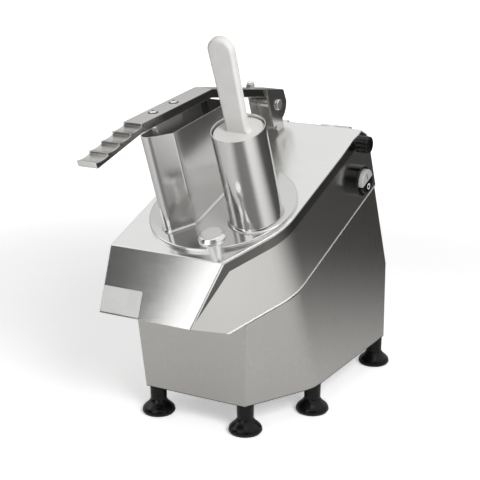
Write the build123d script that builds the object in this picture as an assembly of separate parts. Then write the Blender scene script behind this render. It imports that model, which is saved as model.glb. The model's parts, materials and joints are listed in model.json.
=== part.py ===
from build123d import *
import math
import os

# Bench-top vegetable cutting machine: a stainless housing on five feet, a sloping hinged lid with a
# round feed tube and a long hopper, a lever that presses food down the hopper, and a belt-driven disc.
# Lengths are in millimetres. X runs to the machine's right, Y to its back and Z up.
# Most pieces are drawn square to the lid, in a frame tilted about the base's lower front edge,
# where X runs to the right, Y up the slope of the lid and Z away from the lid.

# Whole machine
lid_slope = 21.0
sheet = 1.5
seat_gap = 0.3
shaft_gap = 0.05
beyond = 40.0

# Cutting disc and its chamber
disc_radius = 102.5
disc_thickness = 3.5
disc_edge = 1.0
disc_clearance = 1.5
chamber_sheet = 1.2
chamber_gap = 0.6
chamber_x = -49.5
chamber_y = 129.0
chamber_depth = 34.3
chamber_front = 75.0
chamber_opening = 170.0
deck_drop = 5.5
deck_thickness = 1.5

# Walls seen square to the lid
taper_angle = 27.9
wall_left = -164.8
wall_front = -70.0
base_step = 1.5
base_bend = 70.0

# Base in the level frame
base_depth = 360.0
front_lean = 9.65
seam_height = 133.1
back_edge_height = 127.5534
bottom_thickness = 2.0

# Upper housing
mouth_back = 1.5
seam_frame_width = 12.0
front_strip = 32.0
housing_drop = 3.0
housing_back_drop = 23.0
housing_slope_inset = 23.8

# Lid
lid_height = 246.0
lid_sheet = 1.2
lid_gap = 0.4
lid_edge_radius = 3.0
crease_y = 13.3
panel_length = 93.7
panel_angle = 49.0
flange_depth = 17.4
flange_start = 19.0
lid_flat_inset = 21.2
lid_tail = 26.7
tail_angle = 45.0

# Raised disc of the lid
raised_radius = 104.5
raised_height = 5.5
raised_sheet = 1.5
raised_edge_radius = 2.5

# Round feed tube and its plunger
tube_x = 12.4
tube_y = 113.0
tube_radius = 36.5
tube_sheet = 1.5
tube_rise = 146.3
tube_rim_edge = 0.5
collar_radius = 41.0
collar_height = 4.5
collar_hollow = 1.6
plunger_gap = 0.6
plunger_wall = 3.0
plunger_floor = 4.0
plunger_rise = 3.0
plunger_below_rim = 4.0
cap_thickness = 5.0
cap_edge_radius = 2.0
handle_rise = 130.7
handle_width_top = 36.0
handle_width_bottom = 31.0
handle_thickness = 13.0
handle_edge_radius = 4.0
handle_flare = 10.0

# Long hopper
hopper_left = -104.2
hopper_fold_x = -64.2
hopper_fold_y = 77.5
hopper_nose_y = 35.5
hopper_back = 213.5
hopper_back_x = -57.7
hopper_corner_radius = 11.0
hopper_fold_radius = 4.0
hopper_sheet = 1.5
hopper_rise = 150.3
hopper_rim_y = 79.5
hopper_rim_drop = 11.9
weld_height = 3.5
weld_width = 3.0
weld_slope = 2.0

# Lever, its fork and its pusher
lever_x = -84.2
lever_width = 29.0
lever_thickness = 12.5
lever_front_y = 24.8
lever_front_rise = 195.4
lever_bend_y = 193.6
lever_bend_rise = 151.0
lever_end_reach = 22.3
lever_lug_gap = 0.8
lever_edge_radius = 1.2
grip_length = 104.0
grip_treads = 4
grip_riser = 4.0
grip_scoop = 1.6
grip_tip_rise = 7.5
grip_tip_depth = 9.5
grip_tip_radius = 3.0
pivot_inset = 32.3
pivot_rise = 35.9
pivot_radius = 5.0
fork_sheet = 3.0
fork_front = 325.5
fork_end_radius = 26.0
fork_back_angle = -15.0
lug_radius = 10.0
lug_foot_width = 26.0
pin_head_radius = 8.0
pin_head = 2.5
pin_edge_radius = 0.9
web_thickness = 9.0
web_front = 66.0
web_back = 126.0
plate_thickness = 8.0
plate_rise = 7.0
plate_back = 177.5
plate_gap = 2.5
cap_nut_y = 310.0
cap_nut_radius = 7.0
cap_nut_height = 10.5
cap_nut_dome_radius = 5.6
cap_nut_dome_edge = 4.4
lever_screw_radius = 3.0
lever_screw_head_radius = 6.5
lever_screw_head = 3.5
lever_screw_length = 20.0
lever_screw_spread = 48.0

# Lid lock at the front right
lock_x = 0.0
lock_y = 20.0
lock_head_radius = 18.5
lock_head_height = 41.0
lock_head_thickness = 12.0
lock_head_lip = 2.4
lock_head_side = 7.2
lock_head_top_radius = 14.8
lock_head_edge_radius = 1.8
lock_stem_top_radius = 11.0
lock_stem_foot_radius = 7.5
lock_spindle_radius = 4.0
lock_slot_width = 12.0
cam_length = 12.0
cam_width = 7.0
cam_thickness = 4.0
cam_drop = 3.0
cam_edge_radius = 2.0

# Clamp knob on the lid's side flange
clamp_inset = 46.8
clamp_drop = 8.5
clamp_knob_radius = 12.5
clamp_knob_length = 20.0
clamp_collar_radius = 9.0
clamp_collar = 3.0
clamp_recess_radius = 8.0
clamp_recess = 2.0
clamp_screw_radius = 3.0
clamp_lobe_radius = 1.6
clamp_lobes = 12

# Lid hinge behind the back wall
hinge_reach = 6.2
hinge_drop = 22.0
hinge_pin_radius = 4.0
knuckle_radius = 6.0
knuckle_length = 24.0
hinge_leaf = 2.0
hinge_leaf_height = 28.0
hinge_left = -128.0
hinge_right = 26.0

# Drive
shaft_radius = 9.0
shaft_foot = 88.0
hub_radius = 21.0
hub_height = 18.5
bayonet_radius = 13.0
rim_height = 14.5
rim_width = 3.0
blade_count = 2
blade_length = 70.0
blade_width = 20.0
blade_thickness = 1.6
blade_rise = 2.3
blade_edge = 0.3
blade_overhang = 6.0
blade_screw_inset = 5.5
blade_screw_spread = 25.0
blade_inner = 25.0
slot_width = 13.0
blade_screw_radius = 2.5
blade_screw_head_radius = 3.75
blade_screw_head = 0.6
ejector_radius = 98.0
ejector_lift = 5.8
ejector_thickness = 3.0
ejector_hub_radius = 18.0
ejector_hub_lift = 1.8
vane_count = 4
vane_thickness = 3.0
vane_height = 6.5
vane_edge = 2.9
bearing_outer = 20.0
bearing_width = 12.0
bearing_case_radius = 26.0
bearing_case_foot = 128.0
bearing_flange_radius = 42.0
bearing_flange = 5.0
seal_thickness = 4.0
pulley_foot = 92.0
pulley_width = 16.0
driven_pulley_radius = 64.0
pulley_rim = 4.0
pulley_web = 5.0
pulley_hub_radius = 17.0
belt_thickness = 3.5
motor_y = 303.0
motor_radius = 57.0
motor_headroom = 21.0
motor_fin_count = 24
motor_fin_depth = 3.0
motor_fin_width = 3.0
motor_cap_height = 14.0
motor_shaft_radius = 7.0
motor_pulley_radius = 14.0
shelf_front = 218.0
shelf_drop = 15.1
shelf_thickness = 3.0
capacitor_radius = 17.5
capacitor_length = 80.0
capacitor_x = 26.0
capacitor_y = 262.0

# Switch on the right side
switch_inset = 59.8
switch_height = 182.0
switch_radius = 23.0
switch_depth = 13.0
switch_rim = 5.0
switch_recess = 6.0
button_stand = 6.5
button_gap = 0.4
button_split = 1.2
button_travel = 3.0
contact_block_width = 34.0
contact_block_height = 40.0
contact_block_depth = 30.0

# Safety sensor and its magnet
sensor_x = -140.0
sensor_y = 250.0
sensor_length = 36.0
sensor_width = 14.0
sensor_depth = 12.0
magnet_height = 2.8

# Feet
foot_height = 43.0
foot_stem_radius = 12.5
foot_neck_radius = 12.0
foot_bell_radius = 24.5
foot_bell_height = 22.0
foot_waist_radius = 18.2
foot_waist_height = 14.0
foot_rim_height = 3.5
foot_bell_flare = 0.36
foot_pad_radius = 22.0
foot_inset = 11.0
foot_screw_radius = 4.0
foot_screw_length = 22.0
foot_screw_head_radius = 7.5
foot_screw_head = 4.0

# Rear cover and cable gland
cover_width = 170.0
cover_height = 90.0
cover_foot = 20.0
cover_centre_x = -55.0
cover_lap = 14.0
gland_x = -105.0
gland_height = 58.0
gland_bore_radius = 4.2
gland_thread_radius = 8.0
gland_hex_radius = 11.0
gland_nut_length = 6.0
gland_dome_length = 14.0
gland_inside = 10.0

# Values that follow from the sizes above
deck_top = lid_height - deck_drop
chamber_floor = deck_top - chamber_depth
housing_top = lid_height - housing_drop
housing_back_top = lid_height - housing_back_drop
chamber_radius = disc_radius + disc_clearance
chamber_outer = chamber_radius + chamber_sheet
wall_bend = chamber_outer + chamber_gap + sheet
wall_right = chamber_x + wall_bend
taper_sine = math.sin(math.radians(taper_angle))
taper_cosine = math.cos(math.radians(taper_angle))
slope_cosine = math.cos(math.radians(lid_slope))
slope_sine = math.sin(math.radians(lid_slope))
wall_back = base_depth * slope_cosine + back_edge_height * slope_sine
housing_slope_start = wall_back - housing_slope_inset
lid_flat_end = wall_back - lid_flat_inset
pivot_y = wall_back - pivot_inset
clamp_y = wall_back - clamp_inset
hinge_y = wall_back + hinge_reach
switch_y = wall_back - switch_inset
shelf_height = seam_height - shelf_drop
lean = math.tan(math.radians(front_lean))
lid_under = lid_height - lid_sheet
lid_edge = lid_gap + lid_sheet
raised_top = lid_height + raised_height
panel_foot_y = crease_y - panel_length * math.cos(math.radians(panel_angle))
panel_foot = lid_height - panel_length * math.sin(math.radians(panel_angle))
tail_y = lid_flat_end + lid_tail * math.cos(math.radians(tail_angle))
tail_height = lid_height - lid_tail * math.sin(math.radians(tail_angle))
deck_under = deck_top - deck_thickness
flange_foot = lid_height - flange_depth
tube_top = lid_height + tube_rise
handle_top = tube_top + handle_rise
hopper_rim_height = lid_height + hopper_rise
lever_front_height = lid_height + lever_front_rise
lever_bend_height = lid_height + lever_bend_rise
pivot_height = lid_height + pivot_rise
lever_pitch = math.degrees(math.atan2(lever_front_height - lever_bend_height, lever_bend_y - lever_front_y))
bend_to_pivot = math.hypot(pivot_y - lever_bend_y, lever_bend_height - pivot_height)
bend_fall = math.atan2(lever_bend_height - pivot_height, pivot_y - lever_bend_y)
bar_above_pivot = lug_radius + lever_lug_gap + lever_thickness
crank_angle = math.degrees(bend_fall - math.asin(bar_above_pivot / bend_to_pivot))
lever_end_y = pivot_y + lever_end_reach
lever_end_height = lever_bend_height - (lever_end_y - lever_bend_y) * math.tan(math.radians(crank_angle))
clamp_height = lid_height - clamp_drop
hinge_height = lid_height - hinge_drop
ejector_height = chamber_floor + ejector_lift
ejector_hub_foot = chamber_floor + ejector_hub_lift
motor_length = lid_height - motor_headroom - shelf_height - shelf_thickness
ground = -foot_height


def tilted(shape):
    """Turn a piece that is drawn square to the lid into the level frame."""
    return Rot(X=lid_slope) * shape


def taper_wall_x(y, inset):
    """X of the tapered right wall at y, moved in by inset."""
    reach = wall_bend - inset + (y - chamber_y) * taper_sine
    return chamber_x + reach / taper_cosine


def plan(inset, bend, front=wall_front, back=wall_back):
    """Outline of the walls seen square to the lid, moved in by inset, with the right wall's soft bend."""
    left = wall_left + inset
    right = wall_right - inset
    corner_y = chamber_y - (wall_bend - inset) * (1 - taper_cosine) / taper_sine
    points = [
        (left, front),
        (taper_wall_x(front, inset), front),
        (right, corner_y),
        (right, back - inset),
        (left, back - inset),
    ]
    outline = Polygon(*points, align=None)
    corner = outline.vertices().sort_by_distance((right, corner_y, 0))[0]
    return fillet(corner, bend)


def prism(outline, low, high):
    """Raise a flat outline from low to high."""
    return Pos(0, 0, low) * extrude(outline, high - low, dir=(0, 0, 1))


def across(points, left, right):
    """Extrude a side view, drawn in Y and Z, from left to right."""
    return Pos(left, 0, 0) * extrude(Plane.YZ * Polygon(*points, align=None), right - left, dir=(1, 0, 0))


def post(x, y, low, high, radius):
    """Round bar along Z from low to high."""
    return Pos(x, y, low) * Cylinder(radius, high - low, align=(Align.CENTER, Align.CENTER, Align.MIN))


def rod(left, right, y, z, radius):
    """Round bar along X from left to right."""
    bar = Cylinder(radius, right - left, align=(Align.CENTER, Align.CENTER, Align.MIN))
    return Pos(left, y, z) * Rot(Y=90) * bar


def block(x0, x1, y0, y1, z0, z1):
    """Box between two corners."""
    return Pos(x0, y0, z0) * Box(x1 - x0, y1 - y0, z1 - z0, align=(Align.MIN, Align.MIN, Align.MIN))


def turned(profile, x, y):
    """Revolve a profile of radius and height about the Z line through x and y."""
    return Pos(x, y, 0) * revolve(Plane.XZ * Polygon(*profile, align=None), Axis.Z)


# Base: folded sheet walls under the seam, a bottom plate and a rear cover


def base_block(inset, bottom, top):
    """Solid bounded by the base's walls moved in by inset."""
    walls = tilted(prism(plan(base_step + inset, base_bend), -base_depth, top))
    front_inset = inset * math.hypot(1, lean)
    back = base_depth - inset
    side = [
        (front_inset - lean * bottom, bottom),
        (back, bottom),
        (back, base_depth),
        (front_inset - lean * base_depth, base_depth),
    ]
    return walls & across(side, wall_left - beyond, wall_right + beyond)


def cover_opening(lap):
    """Block that passes through the back wall behind the rear cover."""
    half = cover_width / 2 - lap
    low = cover_foot + lap
    high = cover_foot + cover_height - lap
    front = base_depth - beyond
    back = base_depth + beyond
    return block(cover_centre_x - half, cover_centre_x + half, front, back, low, high)


def base_housing():
    shell = base_block(0, 0, seam_height) - base_block(sheet, -beyond, seam_height + beyond)
    return shell - cover_opening(cover_lap)


def bottom_plate():
    slab = base_block(sheet, 0, seam_height)
    slab &= block(wall_left, wall_right, 0, base_depth, 0, bottom_thickness)
    for x, y in foot_places():
        slab -= post(x, y, -sheet, bottom_thickness + sheet, foot_screw_radius)
    return slab


def rear_cover():
    half = cover_width / 2
    high = cover_foot + cover_height
    back = base_depth + sheet
    plate = block(cover_centre_x - half, cover_centre_x + half, base_depth, back, cover_foot, high)
    edges = plate.edges().filter_by(Axis.Y)
    plate = fillet(edges, cover_lap / 2)
    bore = Cylinder(gland_thread_radius, 2 * beyond)
    return plate - Pos(gland_x, base_depth, gland_height) * Rot(X=90) * bore


def cable_gland():
    back = base_depth + sheet
    nut = extrude(RegularPolygon(gland_hex_radius, 6), gland_nut_length)
    dome_radius = gland_hex_radius * math.cos(math.radians(30))
    dome = Cylinder(dome_radius, gland_dome_length, align=(Align.CENTER, Align.CENTER, Align.MIN))
    dome = fillet(dome.edges().group_by(Axis.Z)[-1], gland_bore_radius)
    inward = (Align.CENTER, Align.CENTER, Align.MAX)
    thread = Cylinder(gland_thread_radius, gland_inside + sheet, align=inward)
    body = nut + Pos(0, 0, gland_nut_length) * dome + thread
    body -= Cylinder(gland_bore_radius, 4 * beyond)
    return Pos(gland_x, back, gland_height) * Rot(X=-90) * body


def foot_places():
    """Centres of the feet, one in each corner of the base's outline at the ground."""
    inset = base_step + foot_inset
    left = wall_left + base_step + foot_stem_radius
    front = foot_stem_radius
    back = base_depth - foot_stem_radius
    right = wall_right - inset
    corner_y = chamber_y - (wall_bend - inset) * (1 - taper_cosine) / taper_sine
    front_x = taper_wall_x(front * slope_cosine, inset)
    middle = corner_y / slope_cosine + front
    return [(left, front), (front_x, front), (right, middle), (right, back), (left, back)]


def foot():
    """Rubber foot: a straight neck over a bell that flares out to its rim, bored for its screw."""
    pad = Polyline((0, 0), (foot_pad_radius, 0), (foot_bell_radius, foot_rim_height))
    bell = Spline(
        (foot_bell_radius, foot_rim_height),
        (foot_waist_radius, foot_waist_height),
        (foot_neck_radius, foot_bell_height),
        tangents=[(0, 1), (-foot_bell_flare, 1)],
    )
    top = (foot_stem_radius, foot_height)
    neck = Polyline((foot_neck_radius, foot_bell_height), top, (0, foot_height), (0, 0))
    body = revolve(Plane.XZ * make_face([pad, bell, neck]), Axis.Z)
    return body - post(0, 0, foot_height - foot_screw_length, foot_height + sheet, foot_screw_radius)


def feet():
    return [Pos(x, y, ground) * foot() for x, y in foot_places()]


def foot_screws():
    screws = []
    for x, y in foot_places():
        shank = post(x, y, -foot_screw_length, bottom_thickness, foot_screw_radius)
        head = post(x, y, bottom_thickness, bottom_thickness + foot_screw_head, foot_screw_head_radius)
        screws.append(shank + head)
    return screws


# Upper housing: side and back walls from the seam to the lid, open at the front


def upper_side():
    """Side view of the upper housing's walls."""
    clear = 2 * lid_gap + lid_sheet
    shift_y = clear * math.sin(math.radians(panel_angle))
    shift_z = clear * math.cos(math.radians(panel_angle))
    rise = (housing_top - panel_foot + shift_z) / math.tan(math.radians(panel_angle))
    return [
        (panel_foot_y + shift_y, panel_foot - shift_z),
        (mouth_back, seam_height),
        (wall_back, seam_height),
        (wall_back, housing_back_top),
        (housing_slope_start + housing_top - housing_back_top - sheet, housing_back_top + sheet),
        (housing_slope_start, housing_top),
        (panel_foot_y + shift_y + rise, housing_top),
    ]


def upper_housing():
    outer = prism(plan(0, wall_bend), 0, lid_height)
    outer &= across(upper_side(), wall_left - beyond, wall_right + beyond)
    shell = outer - prism(inner_plan(), seam_height - sheet, lid_height + beyond)
    hole = switch_radius - switch_rim
    shell -= rod(wall_right - beyond, wall_right + beyond, switch_y, switch_height, hole)
    return tilted(shell)


def seam_frame():
    """Flat frame welded inside the upper housing's lower edge, with a wider strip behind the mouth."""
    frame = prism(inner_plan(), seam_height, seam_height + sheet)
    frame &= across(upper_side(), wall_left, wall_right)
    window = plan(seam_frame_width, wall_bend - seam_frame_width, front_strip)
    return tilted(frame - prism(window, seam_height - sheet, seam_height + 2 * sheet))


def inner_plan(front=wall_front):
    return plan(sheet, wall_bend - sheet, front)


def chamber_tray():
    """Top pan: a deck with the disc's bowl pressed into it, open at the front."""
    floor = chamber_floor - chamber_sheet
    bowl = post(chamber_x, chamber_y, floor, deck_top, chamber_outer)
    bowl -= block(wall_left, wall_right, wall_front, chamber_front, 0, deck_under)
    deck_front = crease_y + lid_edge
    tray = bowl + prism(inner_plan(deck_front), deck_under, deck_top)
    tray -= post(chamber_x, chamber_y, chamber_floor, deck_top + sheet, chamber_radius)
    tray -= post(chamber_x, chamber_y, 0, deck_top, shaft_radius + seal_thickness)
    half = chamber_opening / 2
    tray -= block(chamber_x - half, lock_x - lock_slot_width, wall_front, chamber_front, 0, lid_height)
    back = housing_slope_start - sheet
    tray -= block(wall_left, wall_right, back, wall_back, deck_under - sheet, lid_height)
    slot = lock_slot_width / 2
    tray -= block(lock_x - slot, lock_x + slot, wall_front, lock_y + slot, 0, lid_height)
    return tilted(tray)


def discharge_chute():
    """Steep plate that carries what the disc cuts from the chamber's floor down to the mouth."""
    floor = chamber_floor - chamber_sheet
    foot = seam_height + sheet
    side = [
        (mouth_back + sheet, foot),
        (mouth_back + 2 * sheet, foot),
        (chamber_front + sheet, floor),
        (chamber_front - sheet / 2, floor),
    ]
    return tilted(across(side, wall_left - beyond, wall_right + beyond) & prism(inner_plan(), 0, lid_height))


# Lid: folded sheet cover with a sloping front panel, side flanges and a sloping tail


def lid_side(inset):
    """Side view of the lid moved in by inset: the sloping front panel, the flat top and the tail."""
    top = lid_height - inset
    panel = math.radians(panel_angle)
    tail = math.radians(tail_angle)
    crease = crease_y + inset * math.tan(panel / 2)
    bend = lid_flat_end - inset * math.tan(tail / 2)
    drop = 2 * panel_length
    return [
        (crease - drop * math.cos(panel), top - drop * math.sin(panel)),
        (bend + drop * math.cos(tail), top - drop * math.sin(panel)),
        (bend + drop * math.cos(tail), top - drop * math.sin(tail)),
        (bend, top),
        (crease, top),
    ]


def lid_block(inset):
    """Solid under the lid's skin, moved in by inset, with rounded folds."""
    edge = inset - lid_edge
    top = lid_height - inset
    outline = plan(edge, wall_bend - edge, wall_front - beyond, wall_back + 3 * beyond)
    body = prism(outline, top - 2 * panel_length, top)
    body &= across(lid_side(inset), wall_left - beyond, wall_right + beyond)
    lowest = top - 2 * panel_length * math.sin(math.radians(tail_angle))
    folds = body.edges().filter_by(lambda edge: edge.center().Z > lowest)
    folds = folds.filter_by(Axis.Z, reverse=True)
    return fillet(folds, lid_edge_radius - inset)


def lid_shell():
    """The lid's folded sheet, trimmed along its lower edges, with its bores."""
    shell = lid_block(0) - lid_block(lid_sheet)
    panel = math.radians(panel_angle)
    foot_in_y = panel_foot_y + lid_sheet * math.sin(panel)
    foot_in = panel_foot - lid_sheet * math.cos(panel)
    tail = math.radians(tail_angle)
    reach = lid_sheet * math.cos(tail)
    keep = [
        (panel_foot_y - beyond * math.sin(panel), panel_foot + beyond * math.cos(panel)),
        (foot_in_y, foot_in),
        (flange_start, flange_foot),
        (tail_y - 2 * reach, flange_foot),
        (tail_y - reach, tail_height - reach),
        (tail_y + beyond, tail_height + beyond),
        (tail_y + beyond, lid_height + 2 * beyond),
        (crease_y - beyond, lid_height + 2 * beyond),
    ]
    shell &= across(keep, wall_left - beyond, wall_right + beyond)
    shell -= post(chamber_x, chamber_y, 0, lid_height + beyond, raised_radius - 2 * raised_sheet)
    shell -= post(lock_x, lock_y, 0, lid_height + beyond, lock_spindle_radius + shaft_gap)
    shell -= rod(0, wall_right + beyond, clamp_y, clamp_height, clamp_screw_radius + shaft_gap)
    return shell


def below_folds():
    """Block under the lid's rounded folds, where its skin is only the two side flanges."""
    return across(lid_side(lid_edge_radius), wall_left - beyond, wall_right + beyond)


def lid_cover():
    """Front panel, flat top and tail with the rounded folds at both sides."""
    return tilted(lid_shell() - below_folds())


def lid_flanges():
    """Side flanges that hang from the folds and close over the housing's walls."""
    flanges = (lid_shell() & below_folds()).solids()
    return [tilted(flange) for flange in flanges.sort_by(Axis.X, reverse=True)]


def hopper_plan(inset):
    """Outline of the long hopper: a straight slot with a slanted front face."""
    slant = math.atan2(hopper_fold_y - hopper_nose_y, hopper_fold_x - hopper_left)
    half_turn = (math.pi / 2 - slant) / 2
    nose_shift = inset * math.tan(half_turn + slant)
    fold_shift = inset * math.tan(slant / 2)
    points = [
        (hopper_left + inset, hopper_nose_y + nose_shift),
        (hopper_fold_x - inset, hopper_fold_y + fold_shift),
        (hopper_back_x - inset, hopper_back - inset),
        (hopper_left + inset, hopper_back - inset),
    ]
    outline = Polygon(*points, align=None)
    fold = outline.vertices().sort_by_distance((hopper_fold_x, hopper_fold_y, 0))[0]
    outline = fillet(fold, hopper_fold_radius)
    corners = outline.vertices().sort_by(Axis.Y)
    corners = [corners[0]] + list(corners[-2:])
    return fillet(corners, hopper_corner_radius - inset)


def hopper_block(inset, low):
    """Solid inside the hopper's outline up to its sloping rim."""
    rise = math.tan(math.radians(hopper_rim_drop))
    body = prism(hopper_plan(inset), low, hopper_rim_height + beyond)
    far = hopper_rim_y + 10 * beyond
    near = hopper_rim_y - 10 * beyond
    rim = [
        (near, hopper_rim_height + 10 * beyond * rise),
        (near, low - beyond),
        (far, low - beyond),
        (far, hopper_rim_height - 10 * beyond * rise),
    ]
    return body & across(rim, wall_left, wall_right)


def large_hopper():
    hollow = prism(hopper_plan(hopper_sheet), lid_under - sheet, hopper_rim_height + beyond)
    shell = hopper_block(0, lid_under) - hollow
    bead = prism(hopper_plan(-weld_width), raised_top, raised_top + weld_height)
    bead -= prism(hopper_plan(0), raised_top - sheet, raised_top + 2 * weld_height)
    slope = prism(hopper_plan(-weld_width), raised_top, raised_top + weld_height)
    slope = chamfer(slope.edges().group_by(Axis.Z)[-1], weld_slope)
    bead &= slope
    return tilted(shell + bead)


def lid_raised_disc():
    top = raised_top
    profile = [
        (0, lid_height),
        (raised_radius, lid_height),
        (raised_radius, top),
        (0, top),
    ]
    body = turned(profile, chamber_x, chamber_y)
    body = fillet(body.edges().group_by(Axis.Z)[-1], raised_edge_radius)
    hollow_radius = raised_radius - 2 * raised_sheet
    body -= post(chamber_x, chamber_y, lid_height - sheet, top - raised_sheet, hollow_radius)
    body -= post(tube_x, tube_y, 0, 2 * top, tube_radius)
    body -= prism(hopper_plan(0), lid_height - sheet, 2 * top)
    return tilted(body)


def round_tube():
    outer = post(tube_x, tube_y, lid_under, tube_top, tube_radius)
    tube = outer - post(tube_x, tube_y, 0, 2 * tube_top, tube_radius - tube_sheet)
    rim = tube.edges().group_by(Axis.Z)[-1]
    return tilted(fillet(rim, tube_rim_edge))


def tube_collar():
    """Weld fillet round the tube's foot, hollow in section."""
    top = raised_top + collar_height
    middle = (tube_radius + collar_hollow, raised_top + collar_hollow)
    section = make_face(
        [
            Polyline((collar_radius, raised_top), (tube_radius, raised_top), (tube_radius, top)),
            ThreePointArc((tube_radius, top), middle, (collar_radius, raised_top)),
        ]
    )
    return tilted(Pos(tube_x, tube_y, 0) * revolve(Plane.XZ * section, Axis.Z))


# Plunger: a hollow cup that fills the round tube, closed by a cap with a paddle handle


def plunger_radius():
    return tube_radius - tube_sheet - plunger_gap


def plunger_body():
    low = lid_under + plunger_rise
    high = tube_top - plunger_below_rim - cap_thickness
    cup = post(tube_x, tube_y, low, high, plunger_radius())
    cup = fillet(cup.edges().group_by(Axis.Z)[0], plunger_wall / 2)
    cup -= post(tube_x, tube_y, low + plunger_floor, high + sheet, plunger_radius() - plunger_wall)
    return tilted(cup)


def plunger_handle():
    low = tube_top - plunger_below_rim - cap_thickness
    disc = post(0, 0, low, low + cap_thickness, plunger_radius())
    disc = fillet(disc.edges().group_by(Axis.Z)[-1], cap_edge_radius)
    foot = low + cap_thickness / 2
    top_radius = handle_width_top / 2
    shoulder = handle_top - top_radius
    half = handle_width_bottom / 2
    outline = make_face(
        [
            Polyline((-top_radius, shoulder), (-half, foot + handle_flare)),
            RadiusArc((-half, foot + handle_flare), (-half - handle_flare, foot), handle_flare),
            Polyline((-half - handle_flare, foot), (half + handle_flare, foot)),
            RadiusArc((half + handle_flare, foot), (half, foot + handle_flare), handle_flare),
            Polyline((half, foot + handle_flare), (top_radius, shoulder)),
            ThreePointArc((top_radius, shoulder), (0, handle_top), (-top_radius, shoulder)),
        ]
    )
    paddle = extrude(Plane.XZ * outline, handle_thickness / 2, both=True)
    faces = paddle.faces().sort_by(Axis.Y)
    rims = faces[0].edges() + faces[-1].edges()
    rims = rims.filter_by(lambda e: e.center().Z > foot + sheet)
    paddle = fillet(rims, handle_edge_radius)
    return tilted(Pos(tube_x, tube_y, 0) * (disc + paddle))


# Lever: a cranked flat bar with a stepped grip, a fork round its pivot and a pusher in the hopper


def lever_bar():
    """Flat bar, cranked down to its pivot, that ends in the stepped grip."""
    bar = extrude(Plane.YZ * lever_outline(), lever_width, dir=(1, 0, 0))
    rims = bar.edges().filter_by(Axis.X, reverse=True)
    bar = fillet(rims, lever_edge_radius)
    for y in screw_places():
        bar -= screw_solid(y, shaft_gap)
    bar -= stud_solid(shaft_gap)
    return tilted(Pos(lever_x - lever_width / 2, 0, 0) * bar)


def lever_outline():
    """Side view of the bar and its grip, whose scooped treads each end in a raised lip."""
    pitch = math.radians(lever_pitch)
    crank = math.radians(crank_angle)
    under = lever_thickness
    half_turn = (pitch + crank) / 2
    bend_y = lever_bend_y - under * math.sin(half_turn) / math.cos(half_turn - pitch)
    bend_z = lever_bend_height - under * math.cos(half_turn) / math.cos(half_turn - pitch)
    tread = grip_length / grip_treads
    tip_y = lever_front_y - grip_length
    tip = lever_front_height + grip_tip_rise
    bar = Polyline(
        (lever_front_y, lever_front_height),
        (lever_bend_y, lever_bend_height),
        (lever_end_y, lever_end_height),
        (lever_end_y - under * math.sin(crank), lever_end_height - under * math.cos(crank)),
        (bend_y, bend_z),
        (lever_front_y - under * math.sin(pitch), lever_front_height - under * math.cos(pitch)),
        (tip_y, tip - grip_tip_depth),
        (tip_y, tip),
    )
    lines = [bar]
    lip_y = tip_y
    lip = tip
    for step in range(grip_treads - 1, -1, -1):
        y = lever_front_y - step * tread
        height = lever_front_height + grip_tip_rise * step / grip_treads
        foot = height - grip_riser
        middle = ((lip_y + y) / 2, (lip + foot) / 2 - grip_scoop)
        lines.append(ThreePointArc((lip_y, lip), middle, (y, foot)))
        lines.append(Line((y, foot), (y, height)))
        lip_y = y
        lip = height
    outline = make_face(lines)
    corner = outline.vertices().sort_by_distance((tip_y, tip - grip_tip_depth, 0))[0]
    return fillet(corner, grip_tip_radius)


def screw_places():
    """Places of the two screws along the bar that hold the pusher's web."""
    middle = (web_front + web_back) / 2
    return [middle - lever_screw_spread / 2, middle + lever_screw_spread / 2]


def bar_top(y):
    """Height of the bar's top at y, on its front or its cranked rear stretch."""
    if y <= lever_bend_y:
        return lever_front_height - (y - lever_front_y) * math.tan(math.radians(lever_pitch))
    return lever_bend_height - (y - lever_bend_y) * math.tan(math.radians(crank_angle))


def screw_solid(y, gap):
    """Countersunk screw through the bar, square to its top face."""
    head_radius = lever_screw_head_radius + gap
    radius = lever_screw_radius + gap
    foot = -lever_screw_length
    profile = [(0, 0), (head_radius, 0), (radius, -lever_screw_head), (radius, foot), (0, foot)]
    body = revolve(Plane.XZ * Polygon(*profile, align=None), Axis.Z)
    return Pos(lever_width / 2, y, bar_top(y)) * Rot(X=-lever_pitch) * body


def lever_screws():
    shift = Pos(lever_x - lever_width / 2, 0, 0)
    return [tilted(shift * screw_solid(y, 0)) for y in screw_places()]


def stud_frame():
    """Frame on the cranked stretch's top where the cap nut sits."""
    return Pos(lever_width / 2, cap_nut_y, bar_top(cap_nut_y)) * Rot(X=-crank_angle)


def stud_solid(gap):
    return stud_frame() * post(0, 0, -lever_thickness - sheet, cap_nut_height / 2, lever_screw_radius + gap)


def cap_nut():
    hexagon = extrude(RegularPolygon(cap_nut_radius, 6), cap_nut_height / 2)
    dome = post(0, 0, cap_nut_height / 2, cap_nut_height, cap_nut_dome_radius)
    dome = fillet(dome.edges().group_by(Axis.Z)[-1], cap_nut_dome_edge)
    nut = stud_frame() * (hexagon + dome) + stud_solid(0)
    return tilted(Pos(lever_x - lever_width / 2, 0, 0) * nut)


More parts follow.
